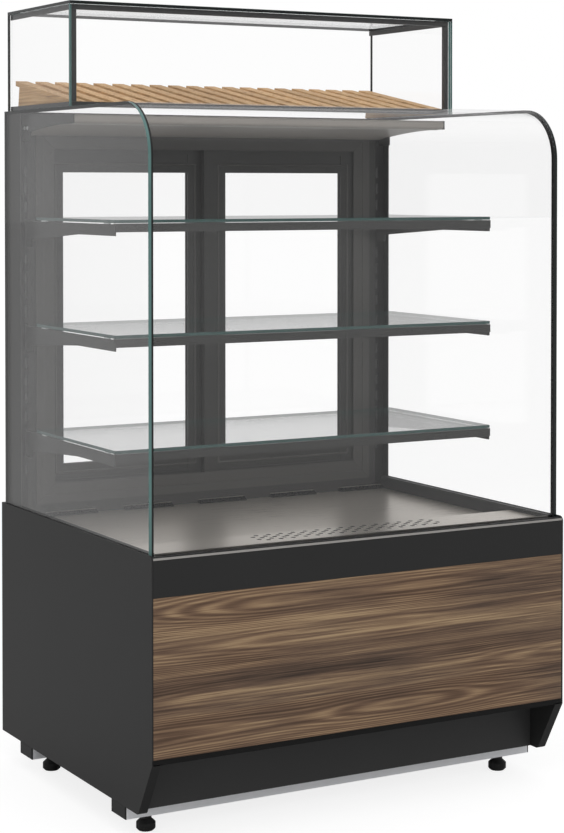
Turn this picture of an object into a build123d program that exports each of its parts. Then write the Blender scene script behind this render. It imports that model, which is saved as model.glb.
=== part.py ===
from build123d import *
import os
from math import atan2, cos, degrees, radians

# Ambient display case: glazed counter with three shelves, rear sliding sashes and a bread box on its roof.
# Millimetres. X runs to the right, Y from front to rear, Z up. The origin is on the floor below the centre.

# Overall size
WIDTH = 900.0
DEPTH = 712.0
SHEET = 2.0
FIT = 0.3
GLASS = 6.0
RUNNING_FIT = 0.05

# Feet, base rails and their threaded bushes
FOOT_HEIGHT = 34.0
FOOT_RADIUS = 18.0
FOOT_BASE_RADIUS = 14.0
FOOT_CHAMFER = 4.0
FOOT_RIM = 11.0
FOOT_NECK_RADIUS = 10.5
FOOT_NECK_START = 22.0
FOOT_FACETS = 18
PIN_FACETS = 12
STUD_RADIUS = 5.0
STUD_LENGTH = 15.0
BUSH_RADIUS = 8.0
BUSH_LENGTH = 18.0
BUSH_FLANGE_RADIUS = 12.0
RAIL_DEPTH = 60.0
RAIL_HEIGHT = 24.0
RAIL_WALL = 2.0
CAP_FLANGE = 3.0
CAP_PLUG = 15.0
CAP_WALL = 2.5
FRONT_RAIL_SETBACK = 143.0
REAR_RAIL_SETBACK = 127.0
FOOT_INSET = 56.0

# Base cabinet
PANEL_TOP = 531.0
PANEL_THICKNESS = 18.0
PANEL_FLANGE = 22.0
PANEL_TOP_FLANGE = 55.0
PANEL_CORNER = 10.0
PANEL_TIP_RADIUS = 8.0
OUTER_LIP = 2.7
KICK_TOP = 159.0
KICK_TIP = 58.0
KICK_SETBACK = 82.0
KICK_LIP = 10.0
CLADDING = 18.0
WOOD_HEIGHT = 287.0
REAR_PANEL_INSET = 4.0
REAR_PANEL_FLANGE = 16.0
STIFFENER = 24.0

# Deck
DECK_SINK = 26.0
GRILLE_SINK = 8.0
GRILLE_FRONT = 28.0
GRILLE_REAR = 155.0
HOLE_RADIUS = 5.2
HOLE_FACETS = 8
HOLE_PITCH = 26.6
HOLE_COLUMNS = 15
HOLE_ROWS = 5
HOLE_ROW_PITCH = 12.2
HOLE_FIRST_ROW = 90.0
HOLE_CENTRE = 21.0
VENT_COUNT = 5
VENT_WIDTH = 110.0
VENT_DEPTH = 14.0
VENT_RISE = 8.0
VENT_SLOTS = 10
VENT_SLOT = 5.0
VENT_CENTRE = 27.0
ANGLE_LEG = 20.0

# Glass housing
ROOF_TOP = 1335.0
GLASS_SETBACK = 18.5
GLASS_REAR = 13.5
GLASS_SINK = 12.0
FRONT_GLASS_SINK = 22.0
BEND_RADIUS = 100.0
CHANNEL_FACE = 4.0
CHANNEL_LIP = 7.0
GASKET = 3.0
PANE_JOINT = 3.8

# Pillars
PILLAR_SETBACK = 64.0
PILLAR_WEB = 25.0
PILLAR_FORWARD = 19.0
PILLAR_SINK = 65.0
SLOT_OFFSET = 5.0
SLOT_WIDTH = 5.0
SLOT_HEIGHT = 22.0
SLOT_PITCH = 35.7
SLOT_COUNT = 18

# Rear door frame and sashes
FRAME_DEPTH = 42.0
FRAME_SILL = 32.0
FRAME_JAMB = 18.0
FRAME_HEAD = 36.0
FRAME_LIP = 12.0
FRAME_RIB = 32.5
FRAME_WALL = 3.0
SASH_DEPTH = 14.0
SASH_OVERLAP = 22.0
SASH_GAP = 3.0
STILE_OUTER = 66.0
STILE_MEETING = 51.0
SASH_TOP_RAIL = 79.0
SASH_BOTTOM_RAIL = 66.0
SASH_GLASS = 4.0
GLAZING_BITE = 8.0
BEAD = 14.0
RAIL_RECESS = 25.0
RECESS_DEPTH = 2.0
PULL_WIDTH = 16.0
PULL_HEIGHT = 150.0
PULL_DEPTH = 4.0
ROLLER_RADIUS = 8.0
ROLLER_WIDTH = 5.0
ROLLER_FACETS = 16
ROLLER_INSET = 30.0
AXLE_RADIUS = 1.5
AXLE_LENGTH = 12.0
POCKET_CLEARANCE = 1.5

# Shelves
LOWEST_SHELF_TOP = 691.3
SHELF_STEPS = 6
SHELF_COUNT = 3
SHELF_OVERHANG = 0.5
SHELF_DEPTH = 381.0
SHELF_REAR_GAP = 56.0
SHELF_GLASS = 6.0
PAD_THICKNESS = 2.0
PAD_LENGTH = 20.0
PAD_WIDTH = 8.0
PAD_INSET = 40.0
BRACKET_THICKNESS = 3.0
BRACKET_FRONT_DROP = 30.0
BRACKET_REAR_DROP = 45.0
BRACKET_STRAIGHT = 172.0
HOOK_PLATE_DROP = 60.0
HOOK_PLATE_DEPTH = 36.0
HOOK_HEIGHT = 18.0
HOOK_DROP = 14.3
HOOK_REACH = 5.0
HOOK_LIP = 5.0
SHELF_RAIL_HEIGHT = 16.0
SHELF_RAIL_DEPTH = 15.0

# Lamp canopy
CANOPY_REACH = 259.0
CANOPY_NOSE_TOP = 14.0
CANOPY_NOSE_BOTTOM = 32.0
CANOPY_REAR_DROP = 49.0
CANOPY_MID_DROP = 35.5
CANOPY_NOSE_RADIUS = 7.0
CANOPY_SKIN = 1.5
ARM_THICKNESS = 3.0
ARM_TAB_DROP = 62.0
ARM_TAB_DEPTH = 42.0
ARM_FLANGE = 9.0
LAMP_SETBACK = 14.0
LAMP_DEPTH = 16.0
LAMP_HEIGHT = 8.0
LAMP_PROUD = 1.0

# Bread box on the roof
BOX_INSET = 10.0
BOX_DEPTH = 320.0
BOX_REAR_INSET = 15.0
BOX_HEIGHT = 203.0
BOX_PROFILE = 10.0
SLAT_COUNT = 20
SLAT_SIDE_GAP = 4.7
SLAT_WIDTH = 34.0
SLAT_THICKNESS = 8.0
SLAT_RISE = 45.0
SLAT_CLEARANCE = 2.0
SLAT_REAR_INSET = 7.0
BOARD_THICKNESS = 12.0
BOARD_INSET = 7.0
BATTEN = 20.0
BATTEN_THICKNESS = 12.0

# Electrical parts
DRIVER_LENGTH = 160.0
DRIVER_WIDTH = 45.0
DRIVER_HEIGHT = 32.0
SWITCH_WIDTH = 30.0
SWITCH_HEIGHT = 22.0
SWITCH_BEZEL = 2.0
SWITCH_BEZEL_RIM = 2.5
SWITCH_BODY_DEPTH = 20.0
SWITCH_INSET = 120.0
SWITCH_Z = 440.0
ROCKER_TILT = 8.0
ROCKER_PIN_RADIUS = 1.5

# Places that follow from the sizes above
HALF = WIDTH / 2
FRONT = -DEPTH / 2
REAR = DEPTH / 2
BASE_Z = FOOT_HEIGHT + RAIL_HEIGHT
PANEL_INNER = HALF - PANEL_THICKNESS
PANE_OUTER = HALF - OUTER_LIP - FIT
PANE_INNER = PANE_OUTER - GLASS
ROOF_UNDER = ROOF_TOP - GLASS
GLASS_FRONT_Y = FRONT + GLASS_SETBACK
GLASS_REAR_Y = REAR - GLASS_REAR
RAIL_CENTRES = (FRONT + FRONT_RAIL_SETBACK, REAR - REAR_RAIL_SETBACK)
FOOT_X = HALF - FOOT_INSET
WOOD_BOTTOM = KICK_TOP + KICK_LIP
WOOD_TOP = WOOD_BOTTOM + WOOD_HEIGHT
PILLAR_Y = REAR - PILLAR_SETBACK
PILLAR_INNER = PANE_INNER - PILLAR_WEB
PILLAR_REAR_Y = GLASS_REAR_Y + GLASS / 4
SLOT_X = PILLAR_INNER + SLOT_OFFSET
FRAME_REAR_Y = PILLAR_Y + FRAME_DEPTH
DECK_TOP = PANEL_TOP - DECK_SINK
GRILLE_TOP = PANEL_TOP - GRILLE_SINK
FLOOR_Z = DECK_TOP + FRAME_SILL
FLOOR_X = PILLAR_INNER - FRAME_JAMB
CEILING_Z = ROOF_UNDER - FRAME_HEAD
RIB_Y = PILLAR_Y + FRAME_DEPTH / 2
TRACK_WIDTH = FRAME_DEPTH / 2 - SHEET - SHEET / 2
FRONT_TRACK_Y = PILLAR_Y + SHEET + TRACK_WIDTH / 2
REAR_TRACK_Y = FRAME_REAR_Y - SHEET - TRACK_WIDTH / 2
SASH_BOTTOM = FLOOR_Z + SASH_GAP
SASH_TOP = CEILING_Z - SASH_GAP
SASH_END = FLOOR_X - SASH_GAP
SASH_WIDTH = SASH_END + SASH_OVERLAP / 2
SASH_TRAVEL = 2 * SASH_END - SASH_WIDTH
SHELF_HALF_WIDTH = SLOT_X + BRACKET_THICKNESS / 2 + SHELF_OVERHANG
SHELF_REAR_Y = PILLAR_Y - SHELF_REAR_GAP
SHELF_FRONT_Y = SHELF_REAR_Y - SHELF_DEPTH
SHELF_TOPS = [LOWEST_SHELF_TOP + i * SHELF_STEPS * SLOT_PITCH for i in range(SHELF_COUNT)]
FIRST_SLOT_Z = SHELF_TOPS[-1] - HOOK_DROP + 3 * SLOT_PITCH
BOX_TOP = ROOF_TOP + BOX_HEIGHT
BOX_HALF_WIDTH = HALF - BOX_INSET
BOX_REAR_Y = REAR - BOX_REAR_INSET
BOX_FRONT_Y = BOX_REAR_Y - BOX_DEPTH
SLAT_PITCH = (2 * (BOX_HALF_WIDTH - GLASS - SLAT_SIDE_GAP) - SLAT_WIDTH) / (SLAT_COUNT - 1)
REAR_PANEL_Y = REAR - REAR_PANEL_INSET
SWITCH_X = HALF - SWITCH_INSET
VENT_PITCH = 2 * (PANEL_INNER - VENT_WIDTH / 2 - VENT_CENTRE) / (VENT_COUNT - 1)


def box(x0, x1, y0, y1, z0, z1):
    """A block between two corners, given in any order."""
    centre = Pos((x0 + x1) / 2, (y0 + y1) / 2, (z0 + z1) / 2)
    return centre * Box(abs(x1 - x0), abs(y1 - y0), abs(z1 - z0))


def along_x(points, x0, x1):
    """An outline of (y, z) points swept from x0 to x1."""
    outline = Polyline(*[(x0, y, z) for y, z in points], close=True)
    return extrude(make_face(outline), amount=x1 - x0, dir=(1, 0, 0))


def along_y(points, y0, y1):
    """An outline of (x, z) points swept from y0 to y1."""
    outline = Polyline(*[(x, y0, z) for x, z in points], close=True)
    return extrude(make_face(outline), amount=y1 - y0, dir=(0, 1, 0))


def edges_along_x(solid, y, z):
    """The edges parallel to X that pass through the point (y, z)."""
    found = []
    for edge in solid.edges().filter_by(Axis.X):
        middle = edge.center()
        if abs(middle.Y - y) < 0.01 and abs(middle.Z - z) < 0.01:
            found.append(edge)
    return found


def mirrored(shape):
    """The same piece on the left-hand side."""
    return mirror(shape, about=Plane.YZ)


def both_sides(shape):
    """A right-hand piece and its left-hand twin."""
    return [shape, mirrored(shape)]


def at_feet(shape):
    """Copies of a piece on the axis of each foot, from front left to rear right."""
    return [Pos(side * FOOT_X, y, 0) * shape for y in RAIL_CENTRES for side in (-1, 1)]


def pin(radius, length):
    """A faceted pin on the Z axis, centred on the origin."""
    return extrude(RegularPolygon(radius, PIN_FACETS), amount=length / 2, both=True)


def bore(radius, length):
    """A faceted drill whose flats lie at the given radius, centred on the origin."""
    return pin(radius / cos(radians(180 / PIN_FACETS)), length)


# Feet, rails, caps and bushes
def faceted(r0, r1, z0, z1):
    """A faceted drum or cone between two heights, where r0 is the radius at z0."""
    wide = max(r0, r1)
    start = z0 if r0 >= r1 else z1
    flat_change = (wide - min(r0, r1)) * cos(radians(180 / FOOT_FACETS))
    taper = degrees(atan2(flat_change, z1 - z0))
    up = Vector(0, 0, 1 if r0 >= r1 else -1)
    return extrude(Pos(0, 0, start) * RegularPolygon(wide, FOOT_FACETS), amount=z1 - z0, dir=up, taper=taper)


def levelling_foot():
    """Moulded foot pad with a faceted rim and neck, on a threaded stud."""
    neck_top = FOOT_HEIGHT - FIT
    rim_top = FOOT_CHAMFER + FOOT_RIM
    foot = faceted(FOOT_BASE_RADIUS, FOOT_RADIUS, 0, FOOT_CHAMFER)
    foot += faceted(FOOT_RADIUS, FOOT_RADIUS, FOOT_CHAMFER, rim_top)
    foot += faceted(FOOT_RADIUS, FOOT_NECK_RADIUS, rim_top, FOOT_NECK_START)
    foot += faceted(FOOT_NECK_RADIUS, FOOT_NECK_RADIUS, FOOT_NECK_START, neck_top)
    return foot + Pos(0, 0, neck_top + STUD_LENGTH / 2) * pin(STUD_RADIUS, STUD_LENGTH)


def rail_bush():
    """Hexagonal threaded bush whose flange lies on the inside of the rail's lower wall."""
    bush = Pos(0, 0, FOOT_HEIGHT) * extrude(RegularPolygon(BUSH_RADIUS, 6), amount=BUSH_LENGTH)
    flange = Pos(0, 0, FOOT_HEIGHT + RAIL_WALL) * extrude(RegularPolygon(BUSH_FLANGE_RADIUS, 6), amount=SHEET)
    return bush + flange - Pos(0, 0, FOOT_HEIGHT) * bore(STUD_RADIUS + RUNNING_FIT, 3 * BUSH_LENGTH)


def base_rail(y):
    """Rectangular tube across the base with a hexagonal hole for each bush."""
    half = HALF - CAP_FLANGE
    rail = box(-half, half, y - RAIL_DEPTH / 2, y + RAIL_DEPTH / 2, FOOT_HEIGHT, BASE_Z)
    hollow = RAIL_DEPTH / 2 - RAIL_WALL
    rail -= box(-HALF, HALF, y - hollow, y + hollow, FOOT_HEIGHT + RAIL_WALL, BASE_Z - RAIL_WALL)
    for side in (-1, 1):
        hole = RegularPolygon(BUSH_RADIUS + RUNNING_FIT, 6)
        rail -= Pos(side * FOOT_X, y, FOOT_HEIGHT) * extrude(hole, amount=1.5 * RAIL_WALL, both=True)
    return rail


def rail_cap(y):
    """Push-in cap on the right-hand end of a rail."""
    start = HALF - CAP_FLANGE
    cap = box(start, HALF, y - RAIL_DEPTH / 2, y + RAIL_DEPTH / 2, FOOT_HEIGHT, BASE_Z)
    cap = fillet(cap.edges().group_by(Axis.X)[-1], CAP_FLANGE / 2)
    half = RAIL_DEPTH / 2 - RAIL_WALL - FIT
    low = FOOT_HEIGHT + RAIL_WALL + FIT
    high = BASE_Z - RAIL_WALL - FIT
    plug = box(start - CAP_PLUG, start, y - half, y + half, low, high)
    inner = half - CAP_WALL
    plug -= box(start - CAP_PLUG - 1, start, y - inner, y + inner, low + CAP_WALL, high - CAP_WALL)
    return cap + plug


# Base cabinet
def side_panel():
    """Right side panel: a folded tray with a slanted toe, a glass slot and a rebate for the front cladding."""
    outline = [
        (FRONT, PANEL_TOP),
        (FRONT, KICK_TOP),
        (FRONT + KICK_TIP, BASE_Z),
        (REAR, BASE_Z),
        (REAR, PANEL_TOP),
    ]
    panel = along_x(outline, PANEL_INNER, HALF)
    panel = fillet(edges_along_x(panel, FRONT, PANEL_TOP), PANEL_CORNER)
    panel = fillet(edges_along_x(panel, FRONT + KICK_TIP, BASE_Z), PANEL_TIP_RADIUS)
    seat = PANE_OUTER + FIT
    panel -= box(PANEL_INNER - 1, seat, FRONT - 1, FRONT + CLADDING, KICK_TOP, PANEL_TOP + 1)
    glass_foot = GRILLE_TOP - FRONT_GLASS_SINK
    glass_back = GLASS_FRONT_Y + GLASS + SHEET + 2 * FIT
    panel -= box(PANEL_INNER - 1, seat, FRONT, glass_back, glass_foot, PANEL_TOP + 1)
    slot_z = PANEL_TOP - GLASS_SINK - FIT
    panel -= box(PANE_INNER - FIT, seat, FRONT, GLASS_REAR_Y + FIT, slot_z, PANEL_TOP + 1)
    hollow_front = FRONT + KICK_SETBACK + PANEL_FLANGE
    hollow_top = PANEL_TOP - PANEL_TOP_FLANGE
    panel -= box(PANEL_INNER - 1, HALF - SHEET, hollow_front, REAR - PANEL_FLANGE, BASE_Z + PANEL_FLANGE, hollow_top)
    return panel


def underfloor_panel():
    """Bottom sheet between the side panels, with its edges folded up."""
    front = FRONT + KICK_SETBACK + SHEET
    rear = REAR_PANEL_Y - SHEET
    floor = box(-PANEL_INNER + FIT, PANEL_INNER - FIT, front, rear, BASE_Z, BASE_Z + SHEET)
    for side in (-1, 1):
        edge = side * (PANEL_INNER - FIT)
        floor += box(edge, edge - side * SHEET, front, rear, BASE_Z, BASE_Z + PANEL_FLANGE)
    return floor


def rear_base_panel():
    """Rear cover of the base, folded forward over the deck at the top, with the switch opening."""
    half = PANEL_INNER - FIT
    inner = REAR_PANEL_Y - SHEET
    top = DECK_TOP + SHEET
    panel = box(-half, half, inner, REAR_PANEL_Y, BASE_Z, top)
    panel += box(-half, half, REAR_PANEL_Y - REAR_PANEL_FLANGE, inner, DECK_TOP, top)
    for side in (-1, 1):
        edge = side * half
        panel += box(edge, edge - side * SHEET, inner - REAR_PANEL_FLANGE, inner, BASE_Z + PANEL_FLANGE + SHEET, DECK_TOP - ANGLE_LEG - 3 * SHEET)
    half_w = SWITCH_WIDTH / 2
    half_h = SWITCH_HEIGHT / 2
    panel -= box(SWITCH_X - half_w, SWITCH_X + half_w, inner - 1, REAR, SWITCH_Z - half_h, SWITCH_Z + half_h)
    return panel


def kick_plate():
    """Recessed plate above the floor, folded forward under the wood panel and up over its lower edge."""
    half = PANEL_INNER - FIT
    face = FRONT + KICK_SETBACK
    plate = box(-half, half, face, face + SHEET, BASE_Z, KICK_TOP + SHEET)
    plate += box(-half, half, FRONT, face, KICK_TOP, KICK_TOP + SHEET)
    plate += box(-PANE_OUTER, PANE_OUTER, FRONT, FRONT + SHEET, KICK_TOP + SHEET, WOOD_BOTTOM)
    plate += box(-PANE_OUTER, PANE_OUTER, FRONT, FRONT + CLADDING - FIT, WOOD_BOTTOM - SHEET, WOOD_BOTTOM)
    return plate


def front_frame_sheet():
    """Sheet behind the cladding that ties the side panels together, stiffened by folds at its ends."""
    half = PANEL_INNER - FIT
    back = FRONT + CLADDING + SHEET
    top = GRILLE_TOP - FRONT_GLASS_SINK - SHEET
    sheet = box(-half, half, FRONT + CLADDING, back, KICK_TOP + SHEET, top)
    for side in (-1, 1):
        edge = side * half
        sheet += box(edge, edge - side * SHEET, back, back + STIFFENER, KICK_TOP + SHEET, top)
    sheet += box(-half, half, back, back + STIFFENER, KICK_TOP + SHEET, KICK_TOP + 2 * SHEET)
    return sheet


def front_fascia():
    """Dark folded fascia between the wood panel and the glazing channel."""
    top = GRILLE_TOP
    bottom = WOOD_TOP
    fascia = box(-PANE_OUTER, PANE_OUTER, FRONT, FRONT + SHEET, bottom, top)
    fascia += box(-PANE_OUTER, PANE_OUTER, FRONT, FRONT + CLADDING - GASKET, top - SHEET, top)
    fascia += box(-PANE_OUTER, PANE_OUTER, FRONT, FRONT + CLADDING, bottom, bottom + SHEET)
    return fascia


def wood_front_panel():
    """Walnut-faced board on the front, with eased face edges."""
    board = box(-PANE_OUTER, PANE_OUTER, FRONT, FRONT + CLADDING, WOOD_BOTTOM, WOOD_TOP)
    return chamfer(board.faces().sort_by(Axis.Y)[0].edges(), 0.6)


def front_glazing_channel():
    """Aluminium extrusion that holds the foot of the front glass, with a nose that shows above the fascia."""
    half = PANE_OUTER
    lip_y = FRONT + CLADDING - GASKET
    foot = GRILLE_TOP - FRONT_GLASS_SINK
    glass_back = GLASS_FRONT_Y + GLASS + FIT
    nose_top = GRILLE_TOP + CHANNEL_FACE
    nose = box(-half, half, FRONT, lip_y, GRILLE_TOP, GRILLE_TOP + SHEET)
    nose += box(-half, half, FRONT, FRONT + SHEET, GRILLE_TOP, nose_top)
    nose += box(-half, half, lip_y, GLASS_FRONT_Y - FIT, foot, nose_top)
    inner = PANEL_INNER - FIT
    pocket = box(-inner, inner, lip_y, glass_back + SHEET, foot - SHEET, foot)
    pocket += box(-inner, inner, glass_back, glass_back + SHEET, foot, GRILLE_TOP + CHANNEL_LIP)
    return nose + pocket


def front_glazing_gasket():
    """Black rubber strip lying in the channel's nose in front of the glass."""
    low = GRILLE_TOP + SHEET
    back = FRONT + CLADDING - GASKET
    return box(-PANE_OUTER, PANE_OUTER, FRONT + SHEET, back, low, low + GASKET)


def display_deck():
    """Steel deck tray, folded up at the front, notched round the pillars and pierced below the vents."""
    half = PANEL_INNER - FIT
    front = FRONT + GRILLE_FRONT + SHEET
    rear = REAR_PANEL_Y - SHEET - FIT
    deck = box(-half, half, front, rear, DECK_TOP - SHEET, DECK_TOP)
    deck += box(-half, half, front, front + SHEET, DECK_TOP, GRILLE_TOP - SHEET)
    for side in (-1, 1):
        deck -= box(side * (PILLAR_INNER - FIT), side * HALF, PILLAR_Y - FIT, REAR, DECK_TOP - 3 * SHEET, DECK_TOP + 1)
    for x in vent_centres():
        half_w = VENT_WIDTH / 2 - VENT_SLOT
        deck -= box(x - half_w, x + half_w, PILLAR_Y - VENT_DEPTH + SHEET, PILLAR_Y - SHEET, 0, DECK_TOP + 1)
    return deck


def front_deck_grille():
    """Raised lift-off cover along the front of the deck with staggered round perforations."""
    half = PANEL_INNER - FIT
    front = FRONT + GRILLE_FRONT
    rear = FRONT + GRILLE_REAR
    cover = box(-half, half, front, rear, GRILLE_TOP - SHEET, GRILLE_TOP)
    cover += box(-half, half, rear - SHEET, rear, DECK_TOP, GRILLE_TOP)
    cover = fillet(edges_along_x(cover, rear, GRILLE_TOP), 0.8 * SHEET)
    drill = extrude(RegularPolygon(HOLE_RADIUS, HOLE_FACETS), amount=2 * SHEET, both=True)
    holes = []
    for row in range(HOLE_ROWS):
        count = HOLE_COLUMNS + row % 2
        y = FRONT + HOLE_FIRST_ROW + row * HOLE_ROW_PITCH
        for column in range(count):
            x = HOLE_CENTRE + (column - (count - 1) / 2) * HOLE_PITCH
            holes.append(Pos(x, y, GRILLE_TOP) * drill)
    return cover - holes


def vent_centres():
    """X of each group of vent slots along the rear of the deck."""
    return [VENT_CENTRE + (i - (VENT_COUNT - 1) / 2) * VENT_PITCH for i in range(VENT_COUNT)]


def deck_vent(x):
    """One slotted vent: a slanted comb that rises from the deck to the rear frame."""
    front = PILLAR_Y - VENT_DEPTH
    half = VENT_WIDTH / 2
    wedge = [
        (front, DECK_TOP),
        (PILLAR_Y - FIT, DECK_TOP),
        (PILLAR_Y - FIT, DECK_TOP + VENT_RISE),
        (front, DECK_TOP + SHEET),
    ]
    vent = along_x(wedge, x - half, x + half)
    pitch = VENT_WIDTH / VENT_SLOTS
    slots = []
    for i in range(VENT_SLOTS):
        middle = x - half + (i + 0.5) * pitch
        slots.append(box(middle - VENT_SLOT / 2, middle + VENT_SLOT / 2, front + SHEET, PILLAR_Y - FIT - SHEET, 0, ROOF_TOP))
    return vent - slots


def deck_support_angle():
    """Right-hand angle that carries the edge of the deck."""
    edge = PANEL_INNER
    top = DECK_TOP - SHEET
    front = FRONT + CLADDING + SHEET + STIFFENER + FIT
    rear = PILLAR_Y - 2 * FIT
    angle = box(edge - SHEET, edge, front, rear, top - ANGLE_LEG, top)
    angle += box(edge - ANGLE_LEG, edge, front, rear, top - SHEET, top)
    return angle


# Glass housing
def side_glass():
    """Right side pane with its rounded front top corner."""
    foot = PANEL_TOP - GLASS_SINK
    outline = [
        (GLASS_FRONT_Y, foot),
        (GLASS_REAR_Y, foot),
        (GLASS_REAR_Y, ROOF_TOP),
        (GLASS_FRONT_Y, ROOF_TOP),
    ]
    pane = along_x(outline, PANE_INNER, PANE_OUTER)
    return fillet(edges_along_x(pane, GLASS_FRONT_Y, ROOF_TOP), BEND_RADIUS)


def bent_strip(x0, x1):
    """The bent section from the channel up over the front and back along the roof, from x0 to x1."""
    foot = GRILLE_TOP - FRONT_GLASS_SINK
    outer = along_x(
        [(GLASS_FRONT_Y, foot), (GLASS_REAR_Y, foot), (GLASS_REAR_Y, ROOF_TOP), (GLASS_FRONT_Y, ROOF_TOP)],
        x0,
        x1,
    )
    outer = fillet(edges_along_x(outer, GLASS_FRONT_Y, ROOF_TOP), BEND_RADIUS)
    back = GLASS_FRONT_Y + GLASS
    inner = along_x(
        [(back, foot - 1), (GLASS_REAR_Y + 1, foot - 1), (GLASS_REAR_Y + 1, ROOF_UNDER), (back, ROOF_UNDER)],
        x0 - 1,
        x1 + 1,
    )
    inner = fillet(edges_along_x(inner, back, ROOF_UNDER), BEND_RADIUS - GLASS)
    return outer - inner


def front_glass():
    """One pane that rises from the channel, bends over at the top and runs back as the roof."""
    half = PANE_INNER - PANE_JOINT
    pane = bent_strip(-half, half)
    notch = PANEL_INNER - FIT
    low = GRILLE_TOP - FRONT_GLASS_SINK - 1
    back = GLASS_FRONT_Y + GLASS + 1
    for side in (-1, 1):
        pane -= box(side * notch, side * HALF, GLASS_FRONT_Y - 1, back, low, PANEL_TOP - GLASS_SINK)
    return pane


def pane_joint():
    """Right bead of sealant between the bent pane and the side pane."""
    bead = bent_strip(PANE_INNER - PANE_JOINT, PANE_INNER)
    return bead & box(0, HALF, FRONT, REAR, PANEL_TOP - GLASS_SINK, ROOF_TOP)


def pillar():
    """Right slotted upright, folded round the corner between side pane and rear frame."""
    low = DECK_TOP - PILLAR_SINK
    post = box(PILLAR_INNER, PANE_INNER, PILLAR_Y, PILLAR_Y + SHEET, low, ROOF_UNDER)
    post += box(PANE_INNER - SHEET, PANE_INNER, PILLAR_Y - PILLAR_FORWARD, PILLAR_REAR_Y, PANEL_TOP, ROOF_UNDER)
    post += box(PILLAR_INNER, PILLAR_INNER + SHEET, PILLAR_Y, FRAME_REAR_Y, low, ROOF_UNDER)
    post -= box(PANEL_INNER, HALF, FRONT, REAR, 0, PANEL_TOP)
    post += box(PANEL_INNER - SHEET, PANEL_INNER, PILLAR_Y, FRAME_REAR_Y, low, PANEL_TOP)
    slots = []
    for i in range(SLOT_COUNT):
        z = FIRST_SLOT_Z - i * SLOT_PITCH
        half_w = SLOT_WIDTH / 2
        slots.append(
            box(SLOT_X - half_w, SLOT_X + half_w, PILLAR_Y - 1, PILLAR_Y + SHEET + 0.5, z - SLOT_HEIGHT / 2, z + SLOT_HEIGHT / 2)
        )
    return post - slots


# Rear door frame
def frame_bar(sweep, outer, floor):
    """A double-track bar: sweep makes a block from two inward distances and two depths."""
    inward = 1 if floor > outer else -1
    rear = FRAME_REAR_Y
    bar = sweep(outer, floor, PILLAR_Y, rear)
    hollow_low = outer + inward * FRAME_WALL
    hollow_high = floor - inward * FRAME_WALL
    bar -= sweep(hollow_low, hollow_high, PILLAR_Y + FRAME_WALL, rear - FRAME_WALL)
    bar += sweep(floor, floor + inward * FRAME_LIP, PILLAR_Y, PILLAR_Y + SHEET)
    bar += sweep(floor, floor + inward * FRAME_RIB, RIB_Y - SHEET / 2, RIB_Y + SHEET / 2)
    bar += sweep(floor, floor + inward * FRAME_LIP, rear - SHEET, rear)
    return bar


def mitre_wedge(start, end):
    """Prism that cuts a frame bar at 45 degrees through the corners start and end of the track floor."""
    reach = 60.0
    (x0, z0) = start
    (x1, z1) = end
    mid_x = 0.0
    mid_z = (FLOOR_Z + CEILING_Z) / 2

    def shifted(x, z, amount):
        return (x + amount * (1 if x > mid_x else -1), z + amount * (1 if z > mid_z else -1))

    points = [shifted(x0, z0, reach), shifted(x1, z1, reach), shifted(x1, z1, -reach), shifted(x0, z0, -reach)]
    return along_y(points, PILLAR_Y - 1, FRAME_REAR_Y + 1)


def rear_frame():
    """The four mitred bars of the door frame."""

    def level(z0, z1, y0, y1):
        return box(-PILLAR_INNER, PILLAR_INNER, y0, y1, z0, z1)

    def upright(x0, x1, y0, y1):
        return box(x0, x1, y0, y1, DECK_TOP, ROOF_UNDER)

    low_left = (-FLOOR_X, FLOOR_Z)
    low_right = (FLOOR_X, FLOOR_Z)
    high_left = (-FLOOR_X, CEILING_Z)
    high_right = (FLOOR_X, CEILING_Z)
    return [
        frame_bar(level, DECK_TOP, FLOOR_Z) & mitre_wedge(low_left, low_right),
        frame_bar(level, ROOF_UNDER, CEILING_Z) & mitre_wedge(high_left, high_right),
        frame_bar(upright, -PILLAR_INNER, -FLOOR_X) & mitre_wedge(low_left, high_left),
        frame_bar(upright, PILLAR_INNER, FLOOR_X) & mitre_wedge(low_right, high_right),
    ]


# Sliding sashes, drawn at the right and mirrored for the left
def sash_glass(y):
    """Pane of the sash, set into a groove of its frame."""
    x0 = SASH_END - SASH_WIDTH + STILE_MEETING - GLAZING_BITE
    x1 = SASH_END - STILE_OUTER + GLAZING_BITE
    z0 = SASH_BOTTOM + SASH_BOTTOM_RAIL - GLAZING_BITE
    z1 = SASH_TOP - SASH_TOP_RAIL + GLAZING_BITE
    return box(x0, x1, y - SASH_GLASS / 2, y + SASH_GLASS / 2, z0, z1)


def roller_places():
    """X of the two rollers in the bottom rail of the right sash."""
    left = SASH_END - SASH_WIDTH + STILE_MEETING + ROLLER_INSET
    right = SASH_END - STILE_OUTER - ROLLER_INSET
    return (left, right)


def roller(x, y):
    """Nylon roller with its axle, standing on the track floor."""
    tyre = extrude(RegularPolygon(ROLLER_RADIUS, ROLLER_FACETS), amount=ROLLER_WIDTH / 2, both=True)
    wheel = tyre + pin(AXLE_RADIUS, AXLE_LENGTH)
    return Pos(x, y, FLOOR_Z + FIT + ROLLER_RADIUS) * Rot(90, 0, 0) * wheel


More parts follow.
